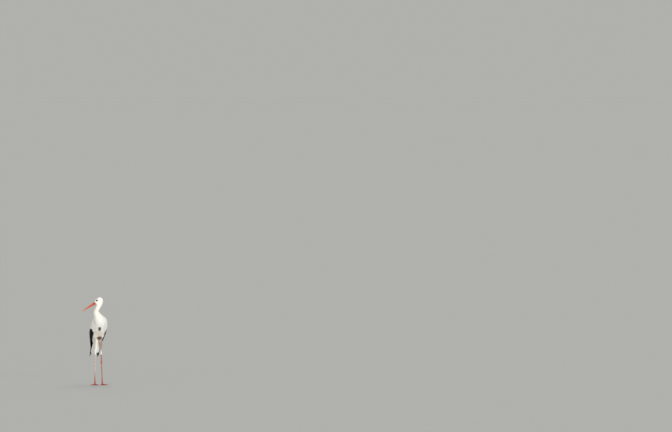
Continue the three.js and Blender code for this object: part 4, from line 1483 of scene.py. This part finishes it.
def hang_lights(scene):
    """Three soft lights, and a backdrop as bright as the floor looks under them, so that no horizon shows.

    The key light is low on the viewer's right, the fill lower and wider on the left, and the rear light
    high behind the bird. A light is its name, its azimuth and height, its strength and its width.
    """
    studio = scene.stork_studio
    lights = (
        ("key", 14, 10, studio.key_light, 12),
        ("fill", -28, 2, studio.fill_light, 50),
        ("rear", 160, 46, studio.rear_light, 60),
    )
    paint = np.array(scene.stork_colours.floor)
    lit = sum(strength * on_floor(height, width) for _, _, height, strength, width in lights) / np.pi
    world = bpy.data.worlds.new("studio")
    world.use_nodes = True
    back = world.node_tree.nodes["Background"]
    back.inputs["Color"].default_value = (*(paint * lit / (1 - paint)), 1)
    back.inputs["Strength"].default_value = 1.0
    scene.world = world
    for name, azimuth, height, strength, width in lights:
        light = bpy.data.lights.new(name, "SUN")
        light.energy, light.angle = strength, np.radians(width)
        lamp = bpy.data.objects.new(name, light)
        a, e = np.radians((azimuth, height))
        back_to = Vector((np.sin(a) * np.cos(e), -np.cos(a) * np.cos(e), np.sin(e)))
        lamp.rotation_mode = "QUATERNION"
        lamp.rotation_quaternion = back_to.to_track_quat("Z", "Y")
        lamp.location = back_to * 5
        scene.collection.objects.link(lamp)


def set_camera(scene):
    """A long lens far off, turned a little aside and down from the bird."""
    studio = scene.stork_studio
    camera = bpy.data.cameras.new("long_lens")
    camera.lens, camera.sensor_width = studio.lens, 36
    camera.clip_start, camera.clip_end = 0.5, 2 * FLOOR_REACH
    viewer = bpy.data.objects.new("long_lens", camera)
    azimuth, aside, decline = np.radians((studio.azimuth, studio.aside, studio.decline))
    stand = ORIGIN + np.array((np.sin(azimuth), -np.cos(azimuth), 0)) * studio.distance
    viewer.location = (stand[0], stand[1], studio.height)
    heading = azimuth - aside
    level = np.cos(decline)
    ahead = Vector((-np.sin(heading) * level, np.cos(heading) * level, -np.sin(decline)))
    viewer.rotation_mode = "QUATERNION"
    viewer.rotation_quaternion = ahead.to_track_quat("-Z", "Y")
    scene.collection.objects.link(viewer)
    scene.camera = viewer
    scene.view_settings.view_transform = "Standard"


class StorkStudio(bpy.types.Operator):
    """Sets the pale floor, the soft lights and the camera with its long lens"""

    bl_idname = "stork.studio"
    bl_label = "Studio"

    def execute(self, context):
        for step in (lay_floor, hang_lights, set_camera):
            step(context.scene)
        return {"FINISHED"}


# ---------------------------------------------------------------- add-on


def colour(name, description, code):
    return FloatVectorProperty(
        name=name, description=description, subtype="COLOR", size=3, min=0, max=1, default=linear(code)
    )


def setting(name, description, default, **limits):
    return FloatProperty(name=name, description=description, default=default, **limits)


class StorkColours(bpy.types.PropertyGroup):
    """Colours of the bird and its studio"""

    white: colour("White", "Brightest white feathers", "FBFAF5")
    white_shade: colour("White, duller", "Dullest white feathers and the down", "EFEDE5")
    cream: colour("Cream", "Tint of the neck", "F2EAD6")
    stain: colour("Stain", "Buff stain of belly and thighs", "E6CDB2")
    # Brown dirt on the left thigh, and painted shade in the arch under the belly between the thighs.
    dirt_and_shade: colour("Dirt", "Brown dirt between and on the thighs", "8C705C")
    # Dark spot on the lower breast, and the darkest painted shade in the arch under the belly.
    dark_spot_and_shade: colour("Soil", "Soiled spot on the lower breast", "3C322C")
    bare: colour("Bare skin", "Bare skin round the eyes, and skin under black feathers", "1C1A1B")
    black: colour("Black", "Flight feathers", "060708")
    black_bloom: colour("Black, bloomed", "Greyer flight feathers and edges", "121416")
    shaft: colour("Shaft", "Shafts of the flight feathers", "241F1C")
    bill: colour("Bill", "Middle of the bill", "CC5424")
    bill_base: colour("Bill base", "Base of the bill", "AE341C")
    bill_tip: colour("Bill tip", "Worn tip of the bill", "D98A5C")
    # Painted shade inside the nostril slits.
    slit: colour("Nostril", "Inside the nostrils", "2A0F0A")
    leg: colour("Leg", "Scales of the legs", "B9432D")
    leg_groove: colour("Leg grooves", "Between the scales", "74291F")
    chalk: colour("Chalk", "Dried lime on the legs", "DAD3CB")
    claw: colour("Claw", "Base of the claws", "2A1C18")
    claw_tip: colour("Claw tip", "Tips of the claws", "6A4A3A")
    iris: colour("Iris", "Lighter streaks of the iris", "33210F")
    iris_dark: colour("Iris, dark", "Darker streaks of the iris", "190F08")
    pupil: colour("Pupil", "Pupil and rim of the eye", "050505")
    floor: colour("Floor", "Painted board", "BCBCBA")


class StorkStudioSettings(bpy.types.PropertyGroup):
    """Where the camera stands, and how strong the lights are"""

    lens: setting("Lens", "Focal length in mm", 300, min=20, subtype="DISTANCE_CAMERA", unit="CAMERA")
    distance: setting("Distance", "From the camera to the bird", 57.7, min=1, unit="LENGTH")
    height: setting("Height", "Of the camera over the floor", 3.02, min=0.1, unit="LENGTH")
    azimuth: setting("Azimuth", "Of the camera round the bird, in degrees", -8.5)
    aside: setting("Aside", "How far left of the middle the bird stands, in degrees", 2.428)
    decline: setting("Decline", "How far the lens points below level, in degrees", 1.27)
    key_light: setting("Key light", "Strength of the light from the viewer's right", 1.7, min=0)
    fill_light: setting("Fill light", "Strength of the light from the viewer's left", 1.45, min=0)
    rear_light: setting("Rear light", "Strength of the light from behind", 1.25, min=0)


OPERATORS = (StorkStudio, StorkSkin, StorkEyes, StorkBill, StorkLegs, StorkCoat, StorkWings)


class StorkPanel(bpy.types.Panel):
    """Lists the steps that build the stork"""

    bl_idname = "VIEW3D_PT_stork"
    bl_label = "White stork"
    bl_space_type = "VIEW_3D"
    bl_region_type = "UI"
    bl_category = "Stork"

    def draw(self, context):
        for step in OPERATORS:
            self.layout.operator(step.bl_idname)
        for group in (context.scene.stork_colours, context.scene.stork_studio):
            box = self.layout.box()
            for name in group.bl_rna.properties.keys():
                if name not in ("rna_type", "name"):
                    box.prop(group, name)


CLASSES = (StorkColours, StorkStudioSettings, *OPERATORS, StorkPanel)


def register():
    for item in CLASSES:
        bpy.utils.register_class(item)
    bpy.types.Scene.stork_colours = PointerProperty(type=StorkColours)
    bpy.types.Scene.stork_studio = PointerProperty(type=StorkStudioSettings)


def unregister():
    del bpy.types.Scene.stork_studio
    del bpy.types.Scene.stork_colours
    for item in reversed(CLASSES):
        bpy.utils.unregister_class(item)


def main():
    """Builds the stork step by step."""
    register()
    for step in OPERATORS:
        group, name = step.bl_idname.split(".")
        getattr(getattr(bpy.ops, group), name)()


if __name__ == "__main__":
    main()
